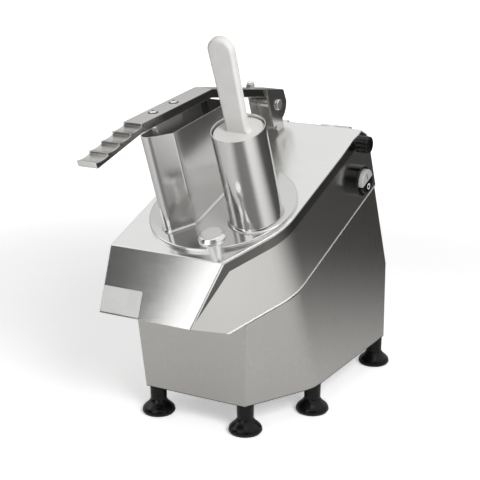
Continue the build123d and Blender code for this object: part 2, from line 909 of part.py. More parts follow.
def lever_fork():
    """Two cheeks on the bar's flanks that reach down round the pivot."""
    rear = math.radians(fork_back_angle)
    arc_end = (pivot_y + fork_end_radius * math.cos(rear), pivot_height + fork_end_radius * math.sin(rear))
    arc_middle_angle = (rear - math.pi / 2) / 2
    arc_middle = (
        pivot_y + fork_end_radius * math.cos(arc_middle_angle),
        pivot_height + fork_end_radius * math.sin(arc_middle_angle),
    )
    arc_foot = (pivot_y, pivot_height - fork_end_radius)
    front_top = (fork_front, bar_top(fork_front))
    outline = make_face(
        [
            Polyline(arc_foot, (fork_front, arc_foot[1]), front_top, (lever_end_y, lever_end_height), arc_end),
            ThreePointArc(arc_end, arc_middle, arc_foot),
        ]
    )
    cheeks = []
    for side in (-1, 1):
        inner = lever_x + side * lever_width / 2
        left = inner if side > 0 else inner - fork_sheet
        cheek = Pos(left, 0, 0) * extrude(Plane.YZ * outline, fork_sheet, dir=(1, 0, 0))
        cheek -= rod(left - sheet, left + fork_sheet + sheet, pivot_y, pivot_height, pivot_radius + shaft_gap)
        cheeks.append(tilted(cheek))
    return cheeks


def pusher_web():
    """Upright plate under the bar that carries the pusher down in the hopper."""
    low = lid_height + plate_rise + plate_thickness
    pitch = math.radians(lever_pitch)
    drop = lever_thickness / math.cos(pitch)
    side = [
        (web_front, low),
        (web_back, low),
        (web_back, bar_top(web_back) - drop),
        (web_front, bar_top(web_front) - drop),
    ]
    web = across(side, lever_x - web_thickness / 2, lever_x + web_thickness / 2)
    for y in screw_places():
        web -= Pos(lever_x - lever_width / 2, 0, 0) * screw_solid(y, 0)
    return tilted(web)


def pusher_plate():
    """Foot that presses on the food; its outline follows the hopper with room for the lever's arc."""
    low = lid_height + plate_rise
    plate = prism(hopper_plan(hopper_sheet + plate_gap), low, low + plate_thickness)
    high = low + 2 * plate_thickness
    plate -= block(wall_left, wall_right, plate_back, hopper_back + beyond, low - sheet, high)
    return tilted(plate)


def pivot_lug():
    """Lug on the lid between the fork's cheeks."""
    half = lever_width / 2 - seat_gap
    foot = lug_foot_width / 2
    outline = make_face(
        [
            Polyline(
                (pivot_y - lug_radius, pivot_height),
                (pivot_y - lug_radius, lid_height + 2 * sheet),
                (pivot_y - foot, lid_height),
                (min(pivot_y + foot, lid_flat_end - sheet), lid_height),
                (pivot_y + lug_radius, lid_height + 2 * sheet),
                (pivot_y + lug_radius, pivot_height),
            ),
            ThreePointArc(
                (pivot_y + lug_radius, pivot_height),
                (pivot_y, pivot_height + lug_radius),
                (pivot_y - lug_radius, pivot_height),
            ),
        ]
    )
    lug = Pos(lever_x - half, 0, 0) * extrude(Plane.YZ * outline, 2 * half, dir=(1, 0, 0))
    lug -= rod(lever_x - half - sheet, lever_x + half + sheet, pivot_y, pivot_height, pivot_radius)
    return tilted(lug)


def lever_pivot_pin():
    reach = lever_width / 2 + fork_sheet + seat_gap
    pin = rod(lever_x - reach, lever_x + reach, pivot_y, pivot_height, pivot_radius)
    for left in (lever_x - reach - pin_head, lever_x + reach):
        head = rod(left, left + pin_head, pivot_y, pivot_height, pin_head_radius)
        pin += fillet(head.edges(), pin_edge_radius)
    return tilted(pin)


# Lid lock: mushroom knob, spindle and cam under the deck


def lock_knob():
    foot = lid_height + seat_gap
    head_top = lid_height + lock_head_height
    head_foot = head_top - lock_head_thickness
    profile = [
        (0, foot),
        (lock_stem_foot_radius, foot),
        (lock_stem_top_radius, head_foot),
        (lock_head_radius, head_foot + lock_head_lip),
        (lock_head_radius, head_foot + lock_head_side),
        (lock_head_top_radius, head_top),
        (0, head_top),
    ]
    knob = turned(profile, 0, 0)
    rims = knob.edges().filter_by(GeomType.CIRCLE).sort_by(Axis.Z)[2:]
    return tilted(Pos(lock_x, lock_y, 0) * fillet(rims, lock_head_edge_radius))


def lock_spindle():
    low = deck_under - cam_drop - cam_thickness
    return tilted(post(lock_x, lock_y, low, lid_height + seat_gap, lock_spindle_radius))


def lock_cam():
    top = deck_under - cam_drop
    half = cam_width / 2
    cam = block(lock_x - half, lock_x + half, lock_y - cam_length, lock_y, top - cam_thickness, top)
    cam += post(lock_x, lock_y, top - cam_thickness, top, half + sheet)
    cam = fillet(cam.edges().filter_by(Axis.Z).sort_by(Axis.Y)[:2], cam_edge_radius)
    return tilted(cam - post(lock_x, lock_y, 0, lid_height, lock_spindle_radius))


# Clamp knob that presses the lid's flange to the housing's side


def side_clamp_knob():
    left = wall_right + lid_edge + seat_gap
    right = left + clamp_collar + clamp_knob_length
    knob = rod(left, left + clamp_collar, clamp_y, clamp_height, clamp_collar_radius)
    grip = rod(left + clamp_collar, right, clamp_y, clamp_height, clamp_knob_radius)
    grip = fillet(grip.edges(), clamp_lobe_radius)
    knob += grip
    for lobe in range(clamp_lobes):
        angle = 2 * math.pi * lobe / clamp_lobes
        y = clamp_y + (clamp_knob_radius + clamp_lobe_radius / 3) * math.cos(angle)
        z = clamp_height + (clamp_knob_radius + clamp_lobe_radius / 3) * math.sin(angle)
        knob -= rod(left + clamp_collar + clamp_lobe_radius, right + sheet, y, z, clamp_lobe_radius)
    knob -= rod(right - clamp_recess, right + sheet, clamp_y, clamp_height, clamp_recess_radius)
    return tilted(knob)


def clamp_screw():
    right = wall_right + lid_edge + seat_gap
    return tilted(rod(wall_right + lid_gap, right, clamp_y, clamp_height, clamp_screw_radius))


# Hinge: a pin in two fixed knuckles on the back wall, and the lid's knuckles between them


def fixed_knuckles():
    return [hinge_left, hinge_right - knuckle_length]


def hinge_brackets():
    low = hinge_height - hinge_leaf_height
    brackets = []
    for left in fixed_knuckles():
        right = left + knuckle_length
        leaf = block(left, right, wall_back, wall_back + hinge_leaf, low, hinge_height - knuckle_radius / 2)
        barrel = rod(left, right, hinge_y, hinge_height, knuckle_radius)
        neck_foot = hinge_height - knuckle_radius
        neck = block(left, right, wall_back, hinge_y, neck_foot, neck_foot + hinge_leaf)
        bracket = leaf + barrel + neck
        bracket -= rod(left - sheet, right + sheet, hinge_y, hinge_height, hinge_pin_radius)
        brackets.append(tilted(bracket))
    return brackets


def hinge_pin():
    return tilted(rod(hinge_left - sheet, hinge_right + sheet, hinge_y, hinge_height, hinge_pin_radius))


def lid_hinge():
    """Two straps from the lid's tail to knuckles on the pin, inside the fixed ones."""
    tail = math.radians(tail_angle)
    out_y = hinge_leaf * math.sin(tail)
    out_z = hinge_leaf * math.cos(tail)
    start = lid_edge_radius + sheet
    start_y = lid_flat_end + start
    start_z = lid_height - start * math.tan(tail)
    end_y = hinge_y - out_y
    end_z = lid_height - (end_y - lid_flat_end) * math.tan(tail)
    side = [
        (start_y, start_z),
        (end_y, end_z),
        (end_y + out_y, end_z + out_z),
        (start_y + out_y, start_z + out_z),
    ]
    straps = []
    inner_left = hinge_left + knuckle_length + seat_gap
    inner_right = hinge_right - 2 * knuckle_length - seat_gap
    for left in (inner_left, inner_right):
        right = left + knuckle_length
        strap = across(side, left, right) + rod(left, right, hinge_y, hinge_height, knuckle_radius)
        strap -= rod(left - sheet, right + sheet, hinge_y, hinge_height, hinge_pin_radius + shaft_gap)
        straps.append(tilted(strap))
    return straps


# Slicing disc with curved-back knives, and the ejector plate under it


def around(count, shape):
    """Copies of a shape turned about the disc's axis."""
    return [Pos(chamber_x, chamber_y, 0) * Rot(Z=360 * turn / count) * shape for turn in range(count)]


def cutting_disc():
    low = deck_top - disc_thickness
    disc = post(0, 0, low, deck_top, disc_radius)
    disc = chamfer(disc.edges().group_by(Axis.Z)[-1], disc_edge)
    rim = post(0, 0, deck_top - rim_height, low, disc_radius)
    rim -= post(0, 0, deck_top - rim_height - sheet, low, disc_radius - rim_width)
    hub = post(0, 0, deck_top - hub_height, low, hub_radius)
    disc = disc + rim + hub
    disc -= post(0, 0, 0, deck_top + sheet, shaft_radius)
    disc -= post(0, 0, deck_top - disc_thickness / 2, deck_top + sheet, bayonet_radius)
    slot = SlotOverall(blade_length, slot_width)
    middle = blade_inner + blade_length / 2
    for turn in range(blade_count):
        cut = Rot(Z=360 * turn / blade_count) * Pos(middle, 0, 0) * prism(slot, low - sheet, deck_top + sheet)
        disc -= cut
        for hole in blade_screw_places():
            x, y = hole
            bore = post(x, y, low - sheet, deck_top + sheet, blade_screw_radius)
            disc -= Rot(Z=360 * turn / blade_count) * bore
    return tilted(Pos(chamber_x, chamber_y, 0) * disc)


def blade_screw_places():
    """Three screws behind each blade's slot."""
    y = slot_width / 2 + blade_width - blade_overhang - blade_screw_inset
    middle = blade_inner + blade_length / 2
    return [(middle - blade_screw_spread, y), (middle, y), (middle + blade_screw_spread, y)]


def blade():
    """Ground steel blade: seated flat behind the slot and raised to its bevelled edge over it."""
    seat = slot_width / 2
    back = seat + blade_width - blade_overhang
    edge = seat - blade_overhang - sheet
    top = deck_top + blade_thickness
    side = [
        (back, deck_top),
        (back, top),
        (seat + sheet, top),
        (edge + sheet, deck_top + blade_rise),
        (edge, deck_top + blade_rise - blade_edge),
        (seat, deck_top),
    ]
    body = across(side, blade_inner, blade_inner + blade_length)
    corners = body.edges().filter_by(Axis.Z)
    body = fillet(corners, sheet)
    for x, y in blade_screw_places():
        body -= post(x, y, 0, 2 * deck_top, blade_screw_radius)
    return body


def slicing_blades():
    return [tilted(shape) for shape in around(blade_count, blade())]


def blade_screws():
    """Screws that hold each blade down on the disc, with low round heads."""
    screws = []
    low = deck_top - disc_thickness
    top = deck_top + blade_thickness
    for x, y in blade_screw_places():
        shank = post(x, y, low, top, blade_screw_radius)
        head = post(x, y, top, top + blade_screw_head, blade_screw_head_radius)
        screws += around(blade_count, shank + head)
    return [tilted(screw) for screw in screws]


def ejector_plate():
    """Plate with upright vanes that sweeps the slices out of the chamber."""
    top = ejector_height + ejector_thickness
    plate = post(0, 0, ejector_height, top, ejector_radius)
    hub_top = deck_top - hub_height
    plate += post(0, 0, ejector_hub_foot, hub_top, ejector_hub_radius)
    half = vane_thickness / 2
    for turn in range(vane_count):
        vane = block(ejector_hub_radius - sheet, ejector_radius - sheet, -half, half, top, top + vane_height)
        vane = chamfer(vane.edges().filter_by(Axis.Y).sort_by(Axis.Z)[-1:], vane_edge)
        plate += Rot(Z=360 * turn / vane_count) * vane
    plate -= post(0, 0, 0, lid_height, shaft_radius)
    return tilted(Pos(chamber_x, chamber_y, 0) * plate)


def drive_shaft():
    top = deck_top - disc_thickness / 2
    shaft = post(chamber_x, chamber_y, shaft_foot, top, shaft_radius)
    screw = post(chamber_x, chamber_y, top, deck_top + sheet, bayonet_radius - sheet)
    return tilted(chamfer(shaft.edges().group_by(Axis.Z)[0], sheet / 2) + screw)


# Bearings, pulleys, belt and motor


def bearing_case():
    top = chamber_floor - chamber_sheet
    case = post(chamber_x, chamber_y, top - bearing_flange, top, bearing_flange_radius)
    case += post(chamber_x, chamber_y, bearing_case_foot, top, bearing_case_radius)
    case -= post(chamber_x, chamber_y, 0, lid_height, shaft_radius + seal_thickness)
    for low in bearing_places():
        case -= post(chamber_x, chamber_y, low, low + bearing_width, bearing_outer)
    low, high = bearing_places()
    case -= post(chamber_x, chamber_y, bearing_case_foot - sheet, low + bearing_width, bearing_outer)
    case -= post(chamber_x, chamber_y, high, top + sheet, bearing_outer)
    return tilted(case)


def bearing_places():
    """Heights of the two bearings' lower faces."""
    top = chamber_floor - chamber_sheet
    return [bearing_case_foot + sheet, top - seal_thickness - bearing_width]


def bearing(low):
    ring = post(chamber_x, chamber_y, low, low + bearing_width, bearing_outer)
    ring -= post(chamber_x, chamber_y, 0, lid_height, shaft_radius + shaft_gap)
    groove_low = low + bearing_width - sheet
    middle = (bearing_outer + shaft_radius) / 2
    for face in (low - sheet, groove_low):
        groove = post(chamber_x, chamber_y, face, face + 2 * sheet, middle + 2 * sheet)
        groove -= post(chamber_x, chamber_y, face - sheet, face + 3 * sheet, middle - 2 * sheet)
        ring -= groove
    return tilted(ring)


def shaft_seal():
    top = chamber_floor - chamber_sheet
    ring = post(chamber_x, chamber_y, top - seal_thickness, top, bearing_outer)
    ring -= post(chamber_x, chamber_y, 0, lid_height, shaft_radius + shaft_gap)
    return tilted(ring)


def pulley(x, y, radius, bore):
    """Flat-faced belt pulley with side flanges; a large one is webbed."""
    top = pulley_foot + pulley_width
    wheel = post(x, y, pulley_foot, top, radius)
    if radius > 2 * pulley_hub_radius:
        recess = (pulley_width - pulley_web) / 2
        for low, high in ((pulley_foot - sheet, pulley_foot + recess), (top - recess, top + sheet)):
            ring = post(x, y, low, high, radius - pulley_rim)
            wheel -= ring - post(x, y, low - sheet, high + sheet, pulley_hub_radius)
    return tilted(wheel - post(x, y, 0, lid_height, bore))


def driven_pulley():
    return pulley(chamber_x, chamber_y, driven_pulley_radius, shaft_radius)


def motor_pulley():
    return pulley(chamber_x, motor_y, motor_pulley_radius, motor_shaft_radius)


def belt_loop(gap):
    """Outline of the belt round both pulleys, lifted off them by gap."""
    large = Pos(chamber_x, chamber_y) * Circle(driven_pulley_radius + gap)
    small = Pos(chamber_x, motor_y) * Circle(motor_pulley_radius + gap)
    return make_hull(large.edges() + small.edges())


def drive_belt():
    top = pulley_foot + pulley_width
    band = prism(belt_loop(seat_gap + belt_thickness), pulley_foot + sheet, top - sheet)
    return tilted(band - prism(belt_loop(seat_gap), pulley_foot, top))


def motor_shelf():
    shelf = prism(plan(base_step + sheet, base_bend), shelf_height, shelf_height + shelf_thickness)
    shelf -= block(wall_left, wall_right, wall_front, shelf_front, shelf_height, lid_height)
    return tilted(shelf - post(chamber_x, motor_y, 0, lid_height, motor_radius / 2))


def motor_body():
    low = shelf_height + shelf_thickness
    body = post(0, 0, low, low + motor_length, motor_radius - motor_fin_depth)
    inner = motor_radius - 2 * motor_fin_depth
    for fin in range(motor_fin_count):
        half = motor_fin_width / 2
        high = low + motor_length - motor_cap_height
        rib = block(inner, motor_radius, -half, half, low + motor_cap_height, high)
        body += Rot(Z=360 * fin / motor_fin_count) * rib
    for foot in (low, low + motor_length - motor_cap_height):
        cap = post(0, 0, foot, foot + motor_cap_height, motor_radius)
        body += chamfer(cap.edges(), sheet)
    body -= post(0, 0, 0, low + motor_cap_height, motor_shaft_radius + shaft_gap)
    return tilted(Pos(chamber_x, motor_y, 0) * body)


def motor_shaft():
    low = shelf_height + shelf_thickness + motor_cap_height
    return tilted(post(chamber_x, motor_y, shaft_foot, low, motor_shaft_radius))


def capacitor():
    low = shelf_height + shelf_thickness
    can = post(capacitor_x, capacitor_y, low, low + capacitor_length, capacitor_radius)
    return tilted(fillet(can.edges().group_by(Axis.Z)[-1], 2 * sheet))


# Switch: a round two-part push button in a black housing, with its contact block inside


def switch_front():
    return wall_right + switch_depth


def switch_housing():
    body = rod(wall_right, switch_front(), switch_y, switch_height, switch_radius)
    body = fillet(body.edges().group_by(Axis.X)[-1], sheet)
    floor = switch_front() - switch_recess
    pocket_radius = button_radius() + button_gap
    pocket = rod(floor, switch_front() + sheet, switch_y, switch_height, pocket_radius)
    stem = rod(wall_right - sheet, wall_right + sheet, switch_y, switch_height, switch_radius - switch_rim)
    body = body + stem - pocket
    bore = rod(0, switch_front(), switch_y, switch_height, button_radius() / 2)
    return tilted(body - bore)


def button_radius():
    return switch_radius - switch_rim


def half_button(side):
    """One half of the split round button; side is 1 for the upper half and -1 for the lower."""
    low = switch_front() - switch_recess + button_travel + seat_gap
    high = switch_front() + button_stand
    face = rod(low, high, switch_y, switch_height, button_radius())
    face = fillet(face.edges().group_by(Axis.X)[-1], sheet)
    stem_radius = button_radius() / 2 - seat_gap
    face += rod(wall_right + sheet + seat_gap, low, switch_y, switch_height, stem_radius)
    gap = side * button_split / 2
    edge = side * switch_radius * 2
    z0 = switch_height + min(gap, edge)
    z1 = switch_height + max(gap, edge)
    return tilted(face & block(0, high + sheet, switch_y - switch_radius, switch_y + switch_radius, z0, z1))


def start_button():
    return half_button(1)


def stop_button():
    return half_button(-1)


def contact_block():
    right = wall_right - sheet
    half = contact_block_width / 2
    tall = contact_block_height / 2
    left = right - contact_block_depth
    body = block(left, right, switch_y - half, switch_y + half, switch_height - tall, switch_height + tall)
    return tilted(fillet(body.edges().filter_by(Axis.X), 2 * sheet))


# Safety sensor under the deck and the magnet in the lid above it


def safety_sensor():
    half = sensor_width / 2
    low = deck_under - sensor_depth
    body = block(sensor_x, sensor_x + sensor_length, sensor_y - half, sensor_y + half, low, deck_under)
    return tilted(fillet(body.edges().filter_by(Axis.Z), sheet))


def lid_magnet():
    half = sensor_width / 2
    low = lid_under - magnet_height
    body = block(sensor_x, sensor_x + sensor_length, sensor_y - half, sensor_y + half, low, lid_under)
    return tilted(fillet(body.edges().filter_by(Axis.Z), sheet))


def build_parts():
    """Every node's name with its solids, before the origin is set."""
    low_bearing, high_bearing = bearing_places()
    return {
        "base_housing": base_housing(),
        "bottom_plate": bottom_plate(),
        "rear_cover": rear_cover(),
        "cable_gland": cable_gland(),
        "rubber_feet": feet(),
        "foot_screws": foot_screws(),
        "upper_housing": upper_housing(),
        "seam_frame": seam_frame(),
        "chamber_tray": chamber_tray(),
        "discharge_chute": discharge_chute(),
        "motor_shelf": motor_shelf(),
        "motor_body": motor_body(),
        "motor_shaft": motor_shaft(),
        "motor_pulley": motor_pulley(),
        "drive_belt": drive_belt(),
        "driven_pulley": driven_pulley(),
        "drive_shaft": drive_shaft(),
        "bearing_case": bearing_case(),
        "lower_bearing": bearing(low_bearing),
        "upper_bearing": bearing(high_bearing),
        "shaft_seal": shaft_seal(),
        "capacitor": capacitor(),
        "cutting_disc": cutting_disc(),
        "slicing_blades": slicing_blades(),
        "blade_screws": blade_screws(),
        "ejector_plate": ejector_plate(),
        "lid_cover": lid_cover(),
        "lid_flanges": lid_flanges(),
        "lid_raised_disc": lid_raised_disc(),
        "round_tube": round_tube(),
        "tube_collar": tube_collar(),
        "large_hopper": large_hopper(),
        "pivot_lug": pivot_lug(),
        "lever_pivot_pin": lever_pivot_pin(),
        "lid_hinge": lid_hinge(),
        "lid_magnet": lid_magnet(),
        "hinge_brackets": hinge_brackets(),
        "hinge_pin": hinge_pin(),
        "plunger_body": plunger_body(),
        "plunger_handle": plunger_handle(),
        "lever_bar": lever_bar(),
        "lever_fork": lever_fork(),
        "lever_screws": lever_screws(),
        "lever_cap_nut": cap_nut(),
        "pusher_web": pusher_web(),
        "pusher_plate": pusher_plate(),
        "lock_knob": lock_knob(),
        "lock_spindle": lock_spindle(),
        "lock_cam": lock_cam(),
        "side_clamp_knob": side_clamp_knob(),
        "clamp_screw": clamp_screw(),
        "switch_housing": switch_housing(),
        "start_button": start_button(),
        "stop_button": stop_button(),
        "contact_block": contact_block(),
        "safety_sensor": safety_sensor(),
    }


def solids_of(shape):
    """All solids of a node, whether it is one shape or a list of them."""
    if isinstance(shape, list):
        return [solid for item in shape for solid in item.solids()]
    return list(shape.solids())


def write_parts():
    """Set the origin under the middle of the machine's outer box, on the bench, and write every node."""
    nodes = {name: solids_of(shape) for name, shape in build_parts().items()}
    everything = Compound(children=[solid.moved(Location()) for solids in nodes.values() for solid in solids])
    box = everything.bounding_box()
    middle = box.center()
    shift = Pos(-middle.X, -middle.Y, -box.min.Z)
    print("origin moved by", -middle.X, -middle.Y, -box.min.Z)
    os.makedirs("parts", exist_ok=True)
    for name, solids in nodes.items():
        placed = [shift * solid for solid in solids]
        export_step(Compound(children=placed) if len(placed) > 1 else placed[0], "parts/" + name + ".step")


if __name__ == "__main__":
    write_parts()
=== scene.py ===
"""Looks of a bench-top vegetable cutting machine: finishes, fastenings, marks, studio and camera."""

import json
import math

import bmesh
import bpy
from bpy.props import FloatProperty, FloatVectorProperty, IntProperty, PointerProperty
from mathutils import Matrix, Vector


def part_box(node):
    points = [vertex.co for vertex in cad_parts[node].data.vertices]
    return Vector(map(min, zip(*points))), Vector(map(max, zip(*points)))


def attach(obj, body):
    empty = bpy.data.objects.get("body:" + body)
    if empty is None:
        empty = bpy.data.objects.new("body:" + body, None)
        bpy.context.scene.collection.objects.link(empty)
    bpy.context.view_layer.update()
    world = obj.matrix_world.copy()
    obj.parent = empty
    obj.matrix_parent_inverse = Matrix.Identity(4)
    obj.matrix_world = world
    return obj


bl_info = {
    "name": "Vegetable cutting machine looks",
    "version": (1, 0, 0),
    "blender": (4, 5, 0),
    "location": "3D View > Sidebar > Cutter",
    "description": "Finishes, fastenings, marks and studio for a bench-top vegetable cutting machine",
    "category": "Object",
}

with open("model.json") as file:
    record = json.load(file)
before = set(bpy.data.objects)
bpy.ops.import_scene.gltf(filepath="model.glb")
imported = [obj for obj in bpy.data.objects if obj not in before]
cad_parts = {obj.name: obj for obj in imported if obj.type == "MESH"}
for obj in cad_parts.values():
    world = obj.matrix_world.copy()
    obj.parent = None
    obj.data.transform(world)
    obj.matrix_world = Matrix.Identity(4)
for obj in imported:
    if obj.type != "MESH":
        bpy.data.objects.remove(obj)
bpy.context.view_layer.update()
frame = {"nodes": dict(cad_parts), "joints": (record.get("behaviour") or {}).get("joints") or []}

MM = 0.001
NODES = frame["nodes"]
JOINTS = {joint["name"]: joint for joint in frame["joints"]}


# Directions and places of the machine, read from its joints

LID_NORMAL = Vector(JOINTS["disc_spin"]["axis"]).normalized()
LID_UP_SLOPE = LID_NORMAL.cross(Vector((1, 0, 0))).normalized()
DISC_CENTRE = Vector(JOINTS["disc_spin"]["pos_m"])
ACROSS = Vector((1, 0, 0))

# Depths of the painted shadow lines and the painted highlight that finishes draw along folds, the reach of
# the painted shade on the flanges' front, and where the hopper's far wall stands

SEAM_PAINTED_SHADOW = (0.0026, 0.0021)
SEAM_LIP_PAINTED_HIGHLIGHT = (0.0034, 0.0028)
FOOT_PAINTED_SHADOW = (0.0014, 0.0008)
BAR_SIDE_PAINTED_SHADE = (0.0006, 0.0003)
FLANGE_FRONT_PAINTED_SHADE = (-0.02, 0.14)
HOPPER_INNER_WALL = -0.0564


def on_lid(x, y, z):
    """Point at x, up the slope and away from the lid, measured in millimetres from the disc's centre."""
    return DISC_CENTRE + MM * (Vector((x, 0, 0)) + y * LID_UP_SLOPE + z * LID_NORMAL)


# Sizes and colours that a user would change


class FinishSettings(bpy.types.PropertyGroup):
    """Colours and grain of the finishes"""

    housing_tone: FloatVectorProperty(
        name="Housing tone", description="Colour of the brushed housing",
        subtype="COLOR", default=(0.7, 0.69, 0.67)
    )
    # Painted shade: the base's steel is a darker copy of the housing's steel, so the lower body looks shaded
    base_tone: FloatVectorProperty(
        name="Base tone", description="Colour of the base's brushed walls",
        subtype="COLOR", default=(0.5, 0.49, 0.47)
    )
    lid_tone: FloatVectorProperty(
        name="Lid tone", description="Colour of the lid's brushed sheet",
        subtype="COLOR", default=(0.84, 0.84, 0.83)
    )
    raised_tone: FloatVectorProperty(
        name="Raised disc tone", description="Colour of the polished disc",
        subtype="COLOR", default=(0.66, 0.66, 0.65)
    )
    tube_tone: FloatVectorProperty(
        name="Tube tone", description="Colour of the polished feed tubes",
        subtype="COLOR", default=(0.66, 0.65, 0.64)
    )
    plastic_tone: FloatVectorProperty(
        name="Plunger tone", description="Colour of the off-white plunger",
        subtype="COLOR", default=(0.66, 0.65, 0.635)
    )
    grain_pitch: FloatProperty(
        name="Grain pitch", description="Distance between brush lines",
        subtype="DISTANCE", default=0.0011, min=0.0002
    )
    edge_round: FloatProperty(
        name="Edge round", description="Radius that softens folded edges",
        subtype="DISTANCE", default=0.0009, min=0.0
    )


class FasteningSettings(bpy.types.PropertyGroup):
    """Size of the screw heads"""

    screw_radius: FloatProperty(
        name="Screw head radius", description="Radius of the cover's screw heads",
        subtype="DISTANCE", default=0.0036
    )
    screw_height: FloatProperty(
        name="Screw head height", description="Height of a domed screw head",
        subtype="DISTANCE", default=0.0018
    )
    screw_sides: IntProperty(name="Screw sides", description="Facets round a screw head", default=28, min=8)


class PlateSettings(bpy.types.PropertyGroup):
    """Size of the blank plate"""

    plate_width: FloatProperty(
        name="Plate width", description="Width of the blank plate", subtype="DISTANCE", default=0.062
    )
    plate_height: FloatProperty(
        name="Plate height", description="Height of the blank plate", subtype="DISTANCE", default=0.036
    )
    plate_thickness: FloatProperty(
        name="Plate thickness", description="Thickness of the blank plate", subtype="DISTANCE", default=0.0004
    )


class StageSettings(bpy.types.PropertyGroup):
    """Floor, cards and lights of the studio"""

    floor_tone: FloatVectorProperty(
        name="Floor tone", description="Colour of the studio floor", subtype="COLOR", default=(0.9, 0.9, 0.9)
    )
    card_tone: FloatVectorProperty(
        name="Card tone", description="Colour of the black cards",
        subtype="COLOR", default=(0.115, 0.113, 0.11)
    )
    card_depth: FloatProperty(
        name="Card depth", description="How dark the black cards are in the metal",
        default=0.9, min=0.0, max=1.0
    )
    paper_lift: FloatProperty(
        name="Paper lift", description="White added to the floor near the machine", default=0.4
    )
    white_card_width: FloatProperty(
        name="White card width", description="Width of the glowing card", subtype="DISTANCE", default=0.3
    )
    white_card_height: FloatProperty(
        name="White card height", description="Height of the glowing card", subtype="DISTANCE", default=0.5
    )
    white_card_glow: FloatProperty(
        name="White card glow", description="Strength of the card", default=1.2, min=0.0
    )
    key_power: FloatProperty(
        name="Key light", description="Power of the large soft light", default=42.0, min=0.0
    )
    fill_power: FloatProperty(name="Fill light", description="Power of the fill light", default=3.0, min=0.0)
    top_power: FloatProperty(name="Top light", description="Power of the light above", default=4.0, min=0.0)
    sky_level: FloatProperty(
        name="Sky level", description="Strength of the surrounding light", default=0.38, min=0.0
    )
    room_level: FloatProperty(
        name="Room level", description="Strength of the room in the metal", default=0.9, min=0.0
    )


# Short forms for shader nodes


def add_math(tree, operation, first, second, clamp=False):
    """Math node on two inputs, each a socket or a number."""
    node = tree.nodes.new("ShaderNodeMath")
    node.operation = operation
    node.use_clamp = clamp
    for socket, value in zip(node.inputs, (first, second)):
        if isinstance(value, (int, float)):
            socket.default_value = value
        else:
            tree.links.new(value, socket)
    return node.outputs[0]


def add_reach(tree, vector, direction):
    """How far a vector reaches along a direction."""
    node = tree.nodes.new("ShaderNodeVectorMath")
    node.operation = "DOT_PRODUCT"
    tree.links.new(vector, node.inputs[0])
    node.inputs[1].default_value = direction
    return node.outputs["Value"]


def add_step(tree, value, start, end, low=0.0, high=1.0):
    """Smooth step from low to high while the value runs from start to end."""
    node = tree.nodes.new("ShaderNodeMapRange")
    node.interpolation_type = "SMOOTHSTEP"
    node.inputs["From Min"].default_value = start
    node.inputs["From Max"].default_value = end
    node.inputs["To Min"].default_value = low
    node.inputs["To Max"].default_value = high
    tree.links.new(value, node.inputs["Value"])
    return node.outputs["Result"]


def principled(material):
    """The main shader of a material."""
    return next(node for node in material.node_tree.nodes if node.type == "BSDF_PRINCIPLED")


# Shader groups shared by several finishes


def group_socket(group, name, kind, side, value=None):
    """Socket of a shader group, with its value where it has one."""
    socket = group.interface.new_socket(name=name, in_out=side, socket_type=kind)
    if value is not None:
        socket.default_value = value


def brushed_group():
    """Brush lines stretched along one axis: tone, roughness and height from object coordinates."""
    group = bpy.data.node_groups.new("BrushLines", "ShaderNodeTree")
    group_socket(group, "Vector", "NodeSocketVector", "INPUT")
    group_socket(group, "Tone", "NodeSocketColor", "INPUT", (0.6, 0.6, 0.6, 1))
    group_socket(group, "Roughness", "NodeSocketFloat", "INPUT", 0.3)
    group_socket(group, "Contrast", "NodeSocketFloat", "INPUT", 0.06)
    group_socket(group, "Color", "NodeSocketColor", "OUTPUT")
    group_socket(group, "Roughness", "NodeSocketFloat", "OUTPUT")
    group_socket(group, "Height", "NodeSocketFloat", "OUTPUT")
    nodes, links = group.nodes, group.links
    inside = nodes.new("NodeGroupInput")
    outside = nodes.new("NodeGroupOutput")
    fine = nodes.new("ShaderNodeTexNoise")
    fine.inputs["Scale"].default_value = 1.0
    fine.inputs["Detail"].default_value = 5.0
    fine.inputs["Roughness"].default_value = 0.65
    links.new(inside.outputs["Vector"], fine.inputs["Vector"])
    centred = add_math(group, "SUBTRACT", fine.outputs["Fac"], 0.5)
    strength = add_math(group, "MULTIPLY", centred, inside.outputs["Contrast"])
    lift = nodes.new("ShaderNodeMath")
    lift.operation = "MULTIPLY_ADD"
    lift.inputs[1].default_value = 4.0
    lift.inputs[2].default_value = 1.0
    links.new(strength, lift.inputs[0])
    tone = nodes.new("ShaderNodeVectorMath")
    tone.operation = "SCALE"
    links.new(inside.outputs["Tone"], tone.inputs[0])
    links.new(lift.outputs[0], tone.inputs["Scale"])
    rough = nodes.new("ShaderNodeMath")
    rough.operation = "MULTIPLY_ADD"
    rough.inputs[1].default_value = 2.5
    links.new(strength, rough.inputs[0])
    links.new(inside.outputs["Roughness"], rough.inputs[2])
    links.new(tone.outputs[0], outside.inputs["Color"])
    links.new(rough.outputs[0], outside.inputs["Roughness"])
    links.new(fine.outputs["Fac"], outside.inputs["Height"])
    return group


